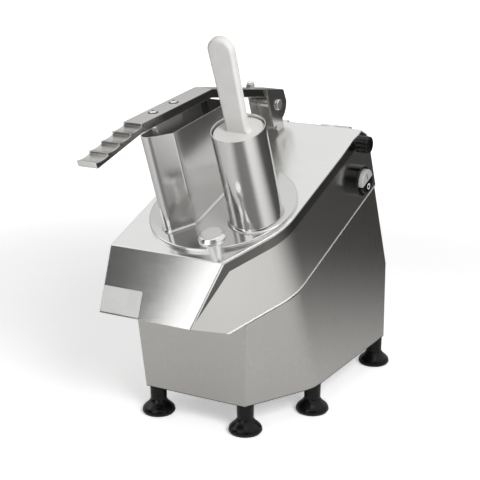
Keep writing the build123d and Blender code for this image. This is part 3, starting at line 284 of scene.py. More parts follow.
def handling_group():
    """Broad smudges and faint scuffs that shift roughness and tone."""
    group = bpy.data.node_groups.new("HandlingMarks", "ShaderNodeTree")
    group_socket(group, "Vector", "NodeSocketVector", "INPUT")
    group_socket(group, "Scale", "NodeSocketFloat", "INPUT", 14.0)
    group_socket(group, "Color", "NodeSocketColor", "INPUT", (0.6, 0.6, 0.6, 1))
    group_socket(group, "Roughness", "NodeSocketFloat", "INPUT", 0.3)
    group_socket(group, "Amount", "NodeSocketFloat", "INPUT", 0.1)
    group_socket(group, "Color", "NodeSocketColor", "OUTPUT")
    group_socket(group, "Roughness", "NodeSocketFloat", "OUTPUT")
    nodes, links = group.nodes, group.links
    inside = nodes.new("NodeGroupInput")
    outside = nodes.new("NodeGroupOutput")
    cloud = nodes.new("ShaderNodeTexNoise")
    cloud.inputs["Detail"].default_value = 6.0
    cloud.inputs["Distortion"].default_value = 0.6
    links.new(inside.outputs["Vector"], cloud.inputs["Vector"])
    links.new(inside.outputs["Scale"], cloud.inputs["Scale"])
    spread = nodes.new("ShaderNodeMapRange")
    spread.inputs["From Min"].default_value = 0.35
    spread.inputs["From Max"].default_value = 0.65
    spread.inputs["To Min"].default_value = -0.5
    spread.inputs["To Max"].default_value = 0.5
    links.new(cloud.outputs["Fac"], spread.inputs["Value"])
    amount = add_math(group, "MULTIPLY", spread.outputs["Result"], inside.outputs["Amount"])
    rough = add_math(group, "ADD", inside.outputs["Roughness"], amount, clamp=True)
    lift = nodes.new("ShaderNodeMath")
    lift.operation = "MULTIPLY_ADD"
    lift.inputs[1].default_value = -0.6
    lift.inputs[2].default_value = 1.0
    links.new(amount, lift.inputs[0])
    tone = nodes.new("ShaderNodeVectorMath")
    tone.operation = "SCALE"
    links.new(inside.outputs["Color"], tone.inputs[0])
    links.new(lift.outputs[0], tone.inputs["Scale"])
    links.new(tone.outputs[0], outside.inputs["Color"])
    links.new(rough, outside.inputs["Roughness"])
    return group


GROUPS = {}


def shared_group(name):
    """One of the two shader groups, made at its first use."""
    if name not in GROUPS:
        GROUPS[name] = {"brush": brushed_group, "handling": handling_group}[name]()
    return GROUPS[name]


def new_material(name):
    """Material with nothing but its main shader."""
    material = bpy.data.materials.new(name)
    material.use_nodes = True
    material.node_tree.nodes.clear()
    nodes = material.node_tree.nodes
    output = nodes.new("ShaderNodeOutputMaterial")
    shader = nodes.new("ShaderNodeBsdfPrincipled")
    material.node_tree.links.new(shader.outputs[0], output.inputs["Surface"])
    return material, shader


def mapped_coordinates(material, scale, turn=(0.0, 0.0, 0.0)):
    """Object coordinates, plain and turned and scaled."""
    nodes, links = material.node_tree.nodes, material.node_tree.links
    coordinate = nodes.new("ShaderNodeTexCoord")
    mapping = nodes.new("ShaderNodeMapping")
    mapping.inputs["Rotation"].default_value = turn
    mapping.inputs["Scale"].default_value = scale
    links.new(coordinate.outputs["Object"], mapping.inputs["Vector"])
    return coordinate, mapping


def brushed_steel(
    name, tone, roughness, contrast, scale, turn, bump=0.05, smudge=0.1, round_edges=True, film=0.0
):
    """Stainless steel with brush lines, faint handling marks, softened folds and a share of dull film."""
    material, shader = new_material(name)
    nodes, links = material.node_tree.nodes, material.node_tree.links
    coordinate, mapping = mapped_coordinates(material, scale, turn)
    brush = nodes.new("ShaderNodeGroup")
    brush.node_tree = shared_group("brush")
    brush.inputs["Tone"].default_value = (*tone, 1)
    brush.inputs["Roughness"].default_value = roughness
    brush.inputs["Contrast"].default_value = contrast
    links.new(mapping.outputs["Vector"], brush.inputs["Vector"])
    handling = nodes.new("ShaderNodeGroup")
    handling.node_tree = shared_group("handling")
    handling.inputs["Amount"].default_value = smudge
    links.new(coordinate.outputs["Object"], handling.inputs["Vector"])
    links.new(brush.outputs["Color"], handling.inputs["Color"])
    links.new(brush.outputs["Roughness"], handling.inputs["Roughness"])
    links.new(handling.outputs["Color"], shader.inputs["Base Color"])
    links.new(handling.outputs["Roughness"], shader.inputs["Roughness"])
    shader.inputs["Metallic"].default_value = 1.0 - film
    height = nodes.new("ShaderNodeBump")
    height.inputs["Strength"].default_value = bump
    height.inputs["Distance"].default_value = 0.0002
    links.new(brush.outputs["Height"], height.inputs["Height"])
    if round_edges:
        soft = nodes.new("ShaderNodeBevel")
        soft.samples = 4
        soft.inputs["Radius"].default_value = bpy.context.scene.cutter_finish.edge_round
        links.new(soft.outputs["Normal"], height.inputs["Normal"])
    links.new(height.outputs["Normal"], shader.inputs["Normal"])
    return material


def moulded(name, tone, roughness, grain, coat=0.0, bump=0.04, shine=0.5):
    """Plastic or rubber with a fine moulded grain and uneven gloss."""
    material, shader = new_material(name)
    nodes, links = material.node_tree.nodes, material.node_tree.links
    coordinate, mapping = mapped_coordinates(material, (grain, grain, grain))
    pebbles = nodes.new("ShaderNodeTexNoise")
    pebbles.inputs["Scale"].default_value = 1.0
    pebbles.inputs["Detail"].default_value = 3.0
    links.new(mapping.outputs["Vector"], pebbles.inputs["Vector"])
    handling = nodes.new("ShaderNodeGroup")
    handling.node_tree = shared_group("handling")
    handling.inputs["Scale"].default_value = 30.0
    handling.inputs["Color"].default_value = (*tone, 1)
    handling.inputs["Roughness"].default_value = roughness
    handling.inputs["Amount"].default_value = 0.12
    links.new(coordinate.outputs["Object"], handling.inputs["Vector"])
    links.new(handling.outputs["Color"], shader.inputs["Base Color"])
    links.new(handling.outputs["Roughness"], shader.inputs["Roughness"])
    shader.inputs["Coat Weight"].default_value = coat
    shader.inputs["Specular IOR Level"].default_value = shine
    height = nodes.new("ShaderNodeBump")
    height.inputs["Strength"].default_value = bump
    height.inputs["Distance"].default_value = 0.0003
    links.new(pebbles.outputs["Fac"], height.inputs["Height"])
    soft = nodes.new("ShaderNodeBevel")
    soft.samples = 4
    soft.inputs["Radius"].default_value = 0.0006
    links.new(soft.outputs["Normal"], height.inputs["Normal"])
    links.new(height.outputs["Normal"], shader.inputs["Normal"])
    return material


def add_band(material, direction, start, end, factor):
    """Scale a finish's colour by a factor where its place reaches past start along a direction; it paints
    shade or highlight into the colour.
    """
    tree = material.node_tree
    shader = principled(material)
    colour = shader.inputs["Base Color"].links[0].from_socket
    coordinate = tree.nodes.new("ShaderNodeTexCoord").outputs["Object"]
    share = add_step(tree, add_reach(tree, coordinate, direction), start, end, 1.0, factor)
    scaled = tree.nodes.new("ShaderNodeVectorMath")
    scaled.operation = "SCALE"
    tree.links.new(colour, scaled.inputs[0])
    tree.links.new(share, scaled.inputs["Scale"])
    tree.links.new(scaled.outputs[0], shader.inputs["Base Color"])


def add_worn_band(material, direction, start, end, film):
    """Let a band of a finish scatter light rather than mirror it; used under the painted highlight along the
    seam.
    """
    tree = material.node_tree
    shader = principled(material)
    coordinate = tree.nodes.new("ShaderNodeTexCoord").outputs["Object"]
    share = add_step(tree, add_reach(tree, coordinate, direction), start, end, 1.0, 1.0 - film)
    tree.links.new(share, shader.inputs["Metallic"])


def add_dull_wall(material, place, extra):
    """Roughen a finish on the wall that stands at a place across the machine."""
    tree = material.node_tree
    shader = principled(material)
    rough = shader.inputs["Roughness"].links[0].from_socket
    coordinate = tree.nodes.new("ShaderNodeTexCoord").outputs["Object"]
    across = add_math(tree, "SUBTRACT", add_reach(tree, coordinate, ACROSS), place)
    nearness = add_math(tree, "ABSOLUTE", across, 0.0)
    share = add_step(tree, nearness, 0.0003, 0.0006, extra, 0.0)
    tree.links.new(add_math(tree, "ADD", rough, share, clamp=True), shader.inputs["Roughness"])


# Mesh helpers


def finish_mesh(name, mesh, material, body):
    """Smooth piece with one material, riding a body."""
    piece = bpy.data.objects.new(name, mesh)
    bpy.context.scene.collection.objects.link(piece)
    mesh.materials.append(material)
    mesh.shade_smooth()
    mesh.set_sharp_from_angle(angle=math.radians(35))
    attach(piece, body)
    return piece


def rounded_plate(width, height, thickness, corner, steps=6):
    """Flat plate in X and Z with round corners, its face towards -Y, its back on y = 0."""
    rim = thickness * 0.3
    outline = []
    for cx, cz, start in ((1, 1, 0), (-1, 1, 90), (-1, -1, 180), (1, -1, 270)):
        for step in range(steps + 1):
            angle = math.radians(start + 90 * step / steps)
            x = cx * (width / 2 - corner) + corner * math.cos(angle)
            z = cz * (height / 2 - corner) + corner * math.sin(angle)
            outline.append((x, z))
    body = bmesh.new()
    back = [body.verts.new((x, 0, z)) for x, z in outline]
    side = [body.verts.new((x, -thickness, z)) for x, z in outline]
    shrink = 1 - 2 * rim / height
    front = [body.verts.new((x * shrink, -thickness, z * shrink)) for x, z in outline]
    count = len(outline)
    for index in range(count):
        after = (index + 1) % count
        body.faces.new((back[index], back[after], side[after], side[index]))
        body.faces.new((side[index], side[after], front[after], front[index]))
    body.faces.new(front)
    body.faces.new(list(reversed(back)))
    bmesh.ops.recalc_face_normals(body, faces=body.faces)
    return body


def ring_band(outer, inner, height, steps=48):
    """Flat ring about Y, its back on y = 0 and its face towards -Y."""
    ring = bmesh.new()
    loops = []
    for radius, level in ((outer, 0.0), (outer, height), (inner, height), (inner, 0.0)):
        loop = []
        for step in range(steps):
            angle = 2 * math.pi * step / steps
            loop.append(ring.verts.new((radius * math.cos(angle), -level, radius * math.sin(angle))))
        loops.append(loop)
    for index in range(4):
        first, second = loops[index], loops[(index + 1) % 4]
        for step in range(steps):
            after = (step + 1) % steps
            ring.faces.new((first[step], first[after], second[after], second[step]))
    bmesh.ops.recalc_face_normals(ring, faces=ring.faces)
    return ring


def to_mesh(body, name, matrix):
    """Mesh of a body under construction, moved to its place."""
    mesh = bpy.data.meshes.new(name)
    body.transform(matrix)
    body.to_mesh(mesh)
    body.free()
    return mesh


# Operators, one for each piece or group of like pieces


class CUTTER_OT_finishes(bpy.types.Operator):
    """Give every part of the frame its procedural finish"""

    bl_idname = "cutter.finishes"
    bl_label = "Finishes"

    def execute(self, context):
        settings = context.scene.cutter_finish
        line = 1 / settings.grain_pitch
        slope = math.atan2(-LID_NORMAL.y, LID_NORMAL.z)
        upright = (line, line, line / 60)
        along_x = (line / 60, line, line)
        even = (300.0, 300.0, 300.0)
        turned = (-slope, 0.0, 0.0)
        level = (0.0, 0.0, 0.0)
        # The base's colour is set darker than the housing's: painted shade on the lower body
        base, housing = settings.base_tone, settings.housing_tone
        lid, raised, tube = settings.lid_tone, settings.raised_tone, settings.tube_tone
        # The flanges' steel is a dark copy of the lid's steel: painted shade on the lid's sides
        flange, lever = (0.3, 0.293, 0.28), (0.72, 0.71, 0.69)
        grip, bright = (0.66, 0.65, 0.63), (0.84, 0.84, 0.83)
        finishes = {
            "base": brushed_steel("base_shaded_steel", base, 0.28, 0.02, upright, level, 0.006, 0.006),
            "housing": brushed_steel("housing_steel", housing, 0.22, 0.025, upright, turned, 0.015, 0.01),
            "lid": brushed_steel("lid_steel", lid, 0.24, 0.04, along_x, turned, 0.008, 0.02),
            "flange": brushed_steel("flange_shaded_steel", flange, 0.24, 0.05, along_x, turned, 0.04, 0.02),
            "raised": brushed_steel(
                "raised_steel", raised, 0.12, 0.02, along_x, turned, 0.01, 0.01, film=0.22
            ),
            "tube": brushed_steel("tube_steel", tube, 0.13, 0.05, upright, turned, 0.015, 0.02, False, 0.03),
            "hopper": brushed_steel("hopper_steel", tube, 0.17, 0.06, upright, turned, 0.02, 0.03, film=0.04),
            "inner": brushed_steel("inner_steel", (0.62, 0.62, 0.61), 0.5, 0.04, along_x, turned, 0.03, 0.03),
            "plated": brushed_steel("plated_steel", (0.5, 0.51, 0.52), 0.38, 0.03, even, turned),
            "lever": brushed_steel("polished_steel", lever, 0.24, 0.06, along_x, turned, 0.04, 0.02),
            "grip": brushed_steel("grip_steel", grip, 0.2, 0.06, along_x, turned, 0.04, 0.02),
            "bright": brushed_steel("bright_steel", bright, 0.12, 0.02, even, turned, 0.01, 0.02, film=0.15),
            "disc": brushed_steel("disc_aluminium", (0.78, 0.78, 0.79), 0.3, 0.04, (500, 500, 30), turned),
            "ground": brushed_steel("ground_steel", (0.72, 0.72, 0.73), 0.16, 0.05, along_x, turned),
            "cast": brushed_steel("cast_aluminium", (0.52, 0.53, 0.54), 0.45, 0.04, even, turned, 0.2),
            "plastic": moulded("white_plastic", settings.plastic_tone, 0.42, 500.0),
            "rubber": moulded("black_rubber", (0.002, 0.002, 0.002), 0.22, 700.0, 0.05, shine=0.25),
            "belt": moulded("belt_rubber", (0.02, 0.02, 0.02), 0.6, 700.0),
            "black": moulded("black_plastic", (0.004, 0.004, 0.004), 0.2, 900.0, 0.1, shine=0.35),
            "grey": moulded("grey_plastic", (0.42, 0.42, 0.41), 0.35, 900.0, 0.1),
        }
        shade_folds(finishes)
        wearers = {
            "base": ("base_housing", "rear_cover"),
            "housing": ("upper_housing",),
            "lid": ("lid_cover", "lid_hinge"),
            "flange": ("lid_flanges",),
            "raised": ("lid_raised_disc",),
            "tube": ("round_tube", "tube_collar"),
            "hopper": ("large_hopper",),
            "inner": (
                "chamber_tray", "discharge_chute", "pusher_web", "pusher_plate", "hinge_brackets",
                "seam_frame",
            ),
            "plated": ("bottom_plate", "motor_shelf"),
            "lever": ("lever_fork", "pivot_lug"),
            "grip": ("lever_bar",),
            "bright": (
                "lock_knob", "lever_screws", "lever_cap_nut", "lever_pivot_pin", "lock_spindle", "lock_cam",
                "clamp_screw", "hinge_pin", "foot_screws", "blade_screws", "drive_shaft", "motor_shaft",
                "lower_bearing", "upper_bearing",
            ),
            "disc": ("cutting_disc", "ejector_plate"),
            "ground": ("slicing_blades",),
            "cast": ("bearing_case", "motor_body", "driven_pulley", "motor_pulley"),
            "plastic": ("plunger_body", "plunger_handle"),
            "rubber": ("rubber_feet",),
            "belt": ("drive_belt", "shaft_seal"),
            "black": (
                "switch_housing", "stop_button", "side_clamp_knob", "cable_gland", "contact_block",
                "safety_sensor",
            ),
            "grey": ("start_button", "capacitor", "lid_magnet"),
        }
        for finish, names in wearers.items():
            for name in names:
                node = NODES[name]
                node.data.materials.clear()
                node.data.materials.append(finishes[finish])
        left = sorted(set(NODES) - {name for names in wearers.values() for name in names})
        if left:
            raise RuntimeError("no finish for " + ", ".join(left))
        return {"FINISHED"}


def shade_folds(finishes):
    """Painted shadow lines along the seam and the base's foot, a painted highlight on the seam's lip, painted
    shade on the flanges' front and the bar's side, and a rougher hopper wall.
    """
    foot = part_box("base_housing")[0].z
    bar_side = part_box("lever_bar")[1].x
    seam = min(vertex.co.dot(LID_NORMAL) for vertex in NODES["upper_housing"].data.vertices)
    lip_highlight = [-seam - depth for depth in SEAM_LIP_PAINTED_HIGHLIGHT]
    # Painted shadow: the base's colour drops to 0.15 in a thin line just under the seam
    add_band(finishes["base"], LID_NORMAL, *(seam - depth for depth in SEAM_PAINTED_SHADOW), 0.15)
    # Painted shadow: the base's colour drops to 0.15 in a thin line along its foot
    add_band(finishes["base"], Vector((0, 0, -1)), *(-foot - depth for depth in FOOT_PAINTED_SHADOW), 0.15)
    # Painted shade: the flanges' front is darkened further, to 0.42 of its colour
    add_band(finishes["flange"], Vector((0, -1, 0)), *FLANGE_FRONT_PAINTED_SHADE, 0.42)
    add_dull_wall(finishes["hopper"], HOPPER_INNER_WALL, 0.4)
    # Painted shade: the lever bar's right side face is darkened to 0.45 of its colour
    add_band(finishes["grip"], ACROSS, *(bar_side - depth for depth in BAR_SIDE_PAINTED_SHADE), 0.45)
    # Painted highlight: the housing's colour rises by 1.35 in a thin band just above the seam, and that band
    # scatters light
    add_band(finishes["housing"], -LID_NORMAL, *lip_highlight, 1.35)
    add_worn_band(finishes["housing"], -LID_NORMAL, *lip_highlight, 0.45)


class CUTTER_OT_blank_plate(bpy.types.Operator):
    """Make the plain plate in the lower left corner of the front panel"""

    bl_idname = "cutter.blank_plate"
    bl_label = "Blank plate"

    def execute(self, context):
        settings = context.scene.cutter_plate
        panel_normal = panel_direction()
        up = panel_normal.cross(ACROSS).normalized()
        if up.z < 0:
            up = -up
        centre = panel_foot() + up * (0.002 + settings.plate_height / 2)
        centre.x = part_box("lid_cover")[0].x + 0.0022 + settings.plate_width / 2
        turn = Matrix((ACROSS, -panel_normal, up)).transposed().to_4x4()
        body = rounded_plate(settings.plate_width, settings.plate_height, settings.plate_thickness, 0.0012)
        mesh = to_mesh(body, "blank_plate", Matrix.Translation(centre + panel_normal * 0.00005) @ turn)
        material = moulded("plate_film", (0.66, 0.66, 0.65), 0.35, 400.0, 0.2)
        finish_mesh("blank_plate", mesh, material, "lid")
        return {"FINISHED"}


def panel_direction():
    """Outward normal of the lid's sloping front panel."""
    total = Vector((0, 0, 0))
    for face in NODES["lid_cover"].data.polygons:
        normal = face.normal
        if normal.y < -0.85 and abs(normal.x) < 0.02 and 0.1 < normal.z < 0.6:
            total += normal * face.area
    return total.normalized()


def panel_foot():
    """Point of the front panel's lower front edge."""
    return min(NODES["lid_cover"].data.vertices, key=lambda vertex: vertex.co.y).co.copy()


def screw_head(radius, height, sides):
    """Domed head with a six-sided socket, its seat on z = 0 and its axis along Z."""
    levels = (
        (1.0, -0.3, False), (1.0, 0.15, False), (0.96, 0.42, False), (0.82, 0.72, False), (0.66, 0.92, False),
        (0.52, 1.0, False), (0.4, 1.0, True), (0.38, 0.3, True),
    )
    body = bmesh.new()
    rings = []
    for share, level, hexagonal in levels:
        ring = []
        for step in range(sides):
            angle = 2 * math.pi * step / sides
            reach = radius * share
            if hexagonal:
                reach /= math.cos(angle % (math.pi / 3) - math.pi / 6)
            ring.append(body.verts.new((reach * math.cos(angle), reach * math.sin(angle), height * level)))
        rings.append(ring)
    for low, high in zip(rings, rings[1:]):
        for step in range(sides):
            after = (step + 1) % sides
            body.faces.new((low[step], low[after], high[after], high[step]))
    body.faces.new(rings[-1])
    body.faces.new(list(reversed(rings[0])))
    bmesh.ops.recalc_face_normals(body, faces=body.faces)
    mesh = bpy.data.meshes.new("screw_head")
    body.to_mesh(mesh)
    body.free()
    return bpy.data.objects.new("screw_head", mesh)


def screw_tree():
    """Geometry nodes: the given head at every point, turned to the point's own facing."""
    tree = bpy.data.node_groups.new("ScrewHeads", "GeometryNodeTree")
    tree.interface.new_socket(name="Geometry", in_out="INPUT", socket_type="NodeSocketGeometry")
    kinds = {"Head": "NodeSocketObject", "Size": "NodeSocketFloat", "Material": "NodeSocketMaterial"}
    named = {}
    for name, kind in kinds.items():
        named[name] = tree.interface.new_socket(name=name, in_out="INPUT", socket_type=kind).identifier
    tree.interface.new_socket(name="Geometry", in_out="OUTPUT", socket_type="NodeSocketGeometry")
    nodes, links = tree.nodes, tree.links
    inside = nodes.new("NodeGroupInput")
    outside = nodes.new("NodeGroupOutput")
    head = nodes.new("GeometryNodeObjectInfo")
    facing = nodes.new("GeometryNodeInputNamedAttribute")
    facing.data_type = "FLOAT_VECTOR"
    facing.inputs["Name"].default_value = "facing"
    align = nodes.new("FunctionNodeAlignRotationToVector")
    align.axis = "Z"
    points = nodes.new("GeometryNodeInstanceOnPoints")
    real = nodes.new("GeometryNodeRealizeInstances")
    coat = nodes.new("GeometryNodeSetMaterial")
    links.new(inside.outputs["Head"], head.inputs["Object"])
    links.new(facing.outputs["Attribute"], align.inputs["Vector"])
    links.new(inside.outputs["Geometry"], points.inputs["Points"])
    links.new(head.outputs["Geometry"], points.inputs["Instance"])
    links.new(align.outputs["Rotation"], points.inputs["Rotation"])
    links.new(inside.outputs["Size"], points.inputs["Scale"])
    links.new(points.outputs["Instances"], real.inputs["Geometry"])
    links.new(real.outputs["Geometry"], coat.inputs["Geometry"])
    links.new(inside.outputs["Material"], coat.inputs["Material"])
    links.new(coat.outputs["Geometry"], outside.inputs["Geometry"])
    return tree, named


def screw_row(name, places, body, size, material):
    """Screw heads at the given points and facings, turned into one plain mesh on a body."""
    settings = bpy.context.scene.cutter_fastenings
    collection = bpy.context.scene.collection
    head = screw_head(settings.screw_radius, settings.screw_height, settings.screw_sides)
    collection.objects.link(head)
    points = bpy.data.meshes.new(name + "_points")
    points.from_pydata([tuple(place) for place, facing in places], [], [])
    attribute = points.attributes.new("facing", "FLOAT_VECTOR", "POINT")
    for index, (place, facing) in enumerate(places):
        attribute.data[index].vector = facing.normalized()
    holder = bpy.data.objects.new(name + "_points", points)
    collection.objects.link(holder)
    tree, named = screw_tree()
    modifier = holder.modifiers.new("Screw heads", "NODES")
    modifier.node_group = tree
    modifier[named["Head"]] = head
    modifier[named["Size"]] = size
    modifier[named["Material"]] = material
    holder.update_tag()
    depsgraph = bpy.context.evaluated_depsgraph_get()
    depsgraph.update()
    mesh = bpy.data.meshes.new_from_object(holder.evaluated_get(depsgraph))
    bpy.data.objects.remove(holder)
    bpy.data.objects.remove(head)
    mesh.name = name
    if not mesh.polygons:
        raise RuntimeError(name + " came out empty")
    mesh.materials.clear()
    return finish_mesh(name, mesh, material, body)


class CUTTER_OT_fastenings(bpy.types.Operator):
    """Set screw heads on the rear cover, the hinge leaves and the lever"""

    bl_idname = "cutter.fastenings"
    bl_label = "Fastenings"

    def execute(self, context):
        steel = bpy.data.materials["bright_steel"]
        low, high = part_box("rear_cover")
        inset = 0.008
        sink = 0.0001
        back = Vector((0, 1, 0))
        cover = []
        for x in (low.x + inset, (low.x + high.x) / 2, high.x - inset):
            for z in (low.z + inset, high.z - inset):
                cover.append((Vector((x, high.y - sink, z)), back))
        screw_row("cover_screws", cover, "base", 1.0, steel)
        screw_row("hinge_screws", hinge_leaf_places(), "base", 0.9, steel)
        heads = lever_screw_places()
        screw_row("lever_screw_heads", heads, "lever", 1.4, steel)
        # Painted shadow: a dark ring round each lever screw head stands for the shade in its countersink
        countersink_shadow = moulded("screw_countersink_shadow", (0.01, 0.01, 0.01), 0.6, 600.0)
        for index, (place, facing) in enumerate(heads):
            turn = facing.to_track_quat("-Y", "Z").to_matrix().to_4x4()
            name = "lever_screw_gap_" + str(index)
            mesh = to_mesh(ring_band(0.0067, 0.0049, 0.0002), name, Matrix.Translation(place) @ turn)
            finish_mesh(name, mesh, countersink_shadow, "lever")
        return {"FINISHED"}


def lever_screw_places():
    """Top ends of the lever's two screws, on the bar's upper face."""
    places = [vertex.co for vertex in NODES["lever_screws"].data.vertices]
    middle = (min(place.y for place in places) + max(place.y for place in places)) / 2
    tops = []
    for rear in (False, True):
        group = [place for place in places if (place.y >= middle) == rear]
        centre = sum(group, Vector()) / len(group)
        above = centre + Vector((0.01, 0, 0.1))
        hit, place, facing, index = NODES["lever_bar"].ray_cast(above, Vector((0, 0, -1)))
        if not hit:
            raise RuntimeError("no lever under its screws")
        tops.append((centre + facing * (place - centre).dot(facing), facing))
    return tops


def hinge_leaf_places():
    """Two screws on each fixed hinge leaf, low on its outer face."""
    low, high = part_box("hinge_brackets")
    vertices = NODES["hinge_brackets"].data.vertices
    face_out = max(vertex.co.dot(LID_UP_SLOPE) for vertex in vertices if vertex.co.z < low.z + 0.006)
    leaf_width = 0.024
    places = []
    for centre_x in (low.x + leaf_width / 2, high.x - leaf_width / 2):
        for shift in (-0.006, 0.006):
            place = Vector((centre_x + shift, (low.y + high.y) / 2, low.z + 0.010))
            depth = place.y * LID_UP_SLOPE.y + place.z * LID_UP_SLOPE.z
            places.append((place + LID_UP_SLOPE * (face_out - depth), LID_UP_SLOPE))
    return places


class CUTTER_OT_button_marks(bpy.types.Operator):
    """Put the plain on and off marks on the two halves of the push button"""

    bl_idname = "cutter.button_marks"
    bl_label = "Button marks"

    def execute(self, context):
        low_on, high_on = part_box("start_button")
        low_off, high_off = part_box("stop_button")
        dark = moulded("mark_dark", (0.02, 0.02, 0.02), 0.4, 600.0)
        light = moulded("mark_light", (0.75, 0.75, 0.74), 0.4, 600.0)
        middle = (low_on + high_on + low_off + high_off) / 4
        apart = 0.0085
        stroke = 0.0016
        ring_radius = 0.0046
        relief = 0.0003
        on_place = middle + LID_NORMAL * apart
        on_place.x = high_on.x
        off_place = middle - LID_NORMAL * apart
        off_place.x = high_off.x
        turn = Matrix((LID_UP_SLOPE, -ACROSS, LID_NORMAL)).transposed().to_4x4()
        bar = rounded_plate(stroke, 0.0088, relief, stroke * 0.45)
        mesh = to_mesh(bar, "on_mark", Matrix.Translation(on_place) @ turn)
        finish_mesh("on_mark", mesh, dark, "start_button")
        ring = ring_band(ring_radius, ring_radius - stroke, relief)
        mesh = to_mesh(ring, "off_mark", Matrix.Translation(off_place) @ turn)
        finish_mesh("off_mark", mesh, light, "stop_button")
        return {"FINISHED"}


class CUTTER_OT_stage(bpy.types.Operator):
    """Build the floor, the lights, the surrounding light and the camera"""

    bl_idname = "cutter.stage"
    bl_label = "Studio"

    def execute(self, context):
        settings = context.scene.cutter_stage
        make_floor(settings)
        make_lights(settings)
        make_white_card(settings)
        make_world(settings)
        make_camera()
        context.scene.view_settings.view_transform = "Standard"
        return {"FINISHED"}


def make_floor(settings):
    """White paper that keeps the shadow, with black cards beyond the picture that only metal shows."""
    mesh = bpy.data.meshes.new("floor")
    reach = 12.0
    level = -0.0002
    corners = [(-reach, -reach, level), (reach, -reach, level), (reach, reach, level), (-reach, reach, level)]
    mesh.from_pydata(corners, [], [(0, 1, 2, 3)])
    floor = bpy.data.objects.new("floor", mesh)
    bpy.context.scene.collection.objects.link(floor)
    material, shader = new_material("floor_paper")
    tree = material.node_tree
    coordinate = tree.nodes.new("ShaderNodeTexCoord").outputs["Object"]
    path = tree.nodes.new("ShaderNodeLightPath")
    behind = add_step(tree, add_reach(tree, coordinate, (0.42, 0.907, 0.0)), 0.1, 1.0)
    before = add_step(tree, add_reach(tree, coordinate, (0.5, -0.866, 0.0)), 0.24, 0.34)
    across = add_math(tree, "ABSOLUTE", add_reach(tree, coordinate, (0.866, 0.5, 0.0)), 0.0)
    before = add_math(tree, "MULTIPLY", before, add_step(tree, across, 0.1, 0.34, 0.85, 0.0))
    cards = add_math(tree, "MAXIMUM", behind, before)
    seen = add_math(tree, "MULTIPLY", cards, path.outputs["Is Glossy Ray"])
    tone = tree.nodes.new("ShaderNodeMixRGB")
    tone.inputs["Color1"].default_value = (*settings.floor_tone, 1)
    tone.inputs["Color2"].default_value = (*settings.card_tone, 1)
    tree.links.new(seen, tone.inputs["Fac"])
    tree.links.new(tone.outputs["Color"], shader.inputs["Base Color"])
    shader.inputs["Roughness"].default_value = 0.9
    shader.inputs["Specular IOR Level"].default_value = 0.0
    length = tree.nodes.new("ShaderNodeVectorMath")
    length.operation = "LENGTH"
    tree.links.new(coordinate, length.inputs[0])
    veil = add_step(tree, length.outputs["Value"], 0.8, 2.0, settings.paper_lift, 1.0)
    shader.inputs["Emission Color"].default_value = (1, 1, 1, 1)
    glow = add_math(tree, "MULTIPLY", veil, path.outputs["Is Camera Ray"])
    tree.links.new(glow, shader.inputs["Emission Strength"])
    mesh.materials.append(material)


def area_light(name, place, target, size, power):
    """Square lamp at a place, turned to a target."""
    data = bpy.data.lights.new(name, "AREA")
    data.energy = power
    data.size = size
    lamp = bpy.data.objects.new(name, data)
    lamp.location = place
    lamp.rotation_euler = (Vector(target) - Vector(place)).to_track_quat("-Z", "Y").to_euler()
    bpy.context.scene.collection.objects.link(lamp)
    return lamp


def make_lights(settings):
    """Key from the front right, which the metal doesn't show, with fill from the left and from above."""
    target = (0.0, 0.0, 0.25)
    key = area_light("key_light", (1.55, -1.15, 1.45), target, 0.9, settings.key_power)
    key.visible_glossy = False
    area_light("fill_light", (-1.6, -0.6, 1.4), target, 1.0, settings.fill_power)
    area_light("top_light", (0.2, -0.2, 2.3), target, 1.0, settings.top_power)


def make_white_card(settings):
    """Glowing card before the front panel, seen only in the metal."""
    centre = on_lid(-92, -465, 252)
    side = Vector((1, 0, 0)) * settings.white_card_width / 2
    lean = Vector((0, -0.25, 0.97))
    rise = lean * settings.white_card_height / 2
    mesh = bpy.data.meshes.new("white_card")
    corners = [centre - side - rise, centre + side - rise, centre + side + rise, centre - side + rise]
    mesh.from_pydata([tuple(corner) for corner in corners], [], [(0, 1, 2, 3)])
    card = bpy.data.objects.new("white_card", mesh)
    bpy.context.scene.collection.objects.link(card)
    material, shader = new_material("card_glow")
    shader.inputs["Base Color"].default_value = (0.9, 0.9, 0.9, 1)
    shader.inputs["Emission Color"].default_value = (1, 1, 1, 1)
    shader.inputs["Emission Strength"].default_value = settings.white_card_glow
    mesh.materials.append(material)
    card.visible_camera = False
    card.visible_diffuse = False
    card.visible_shadow = False


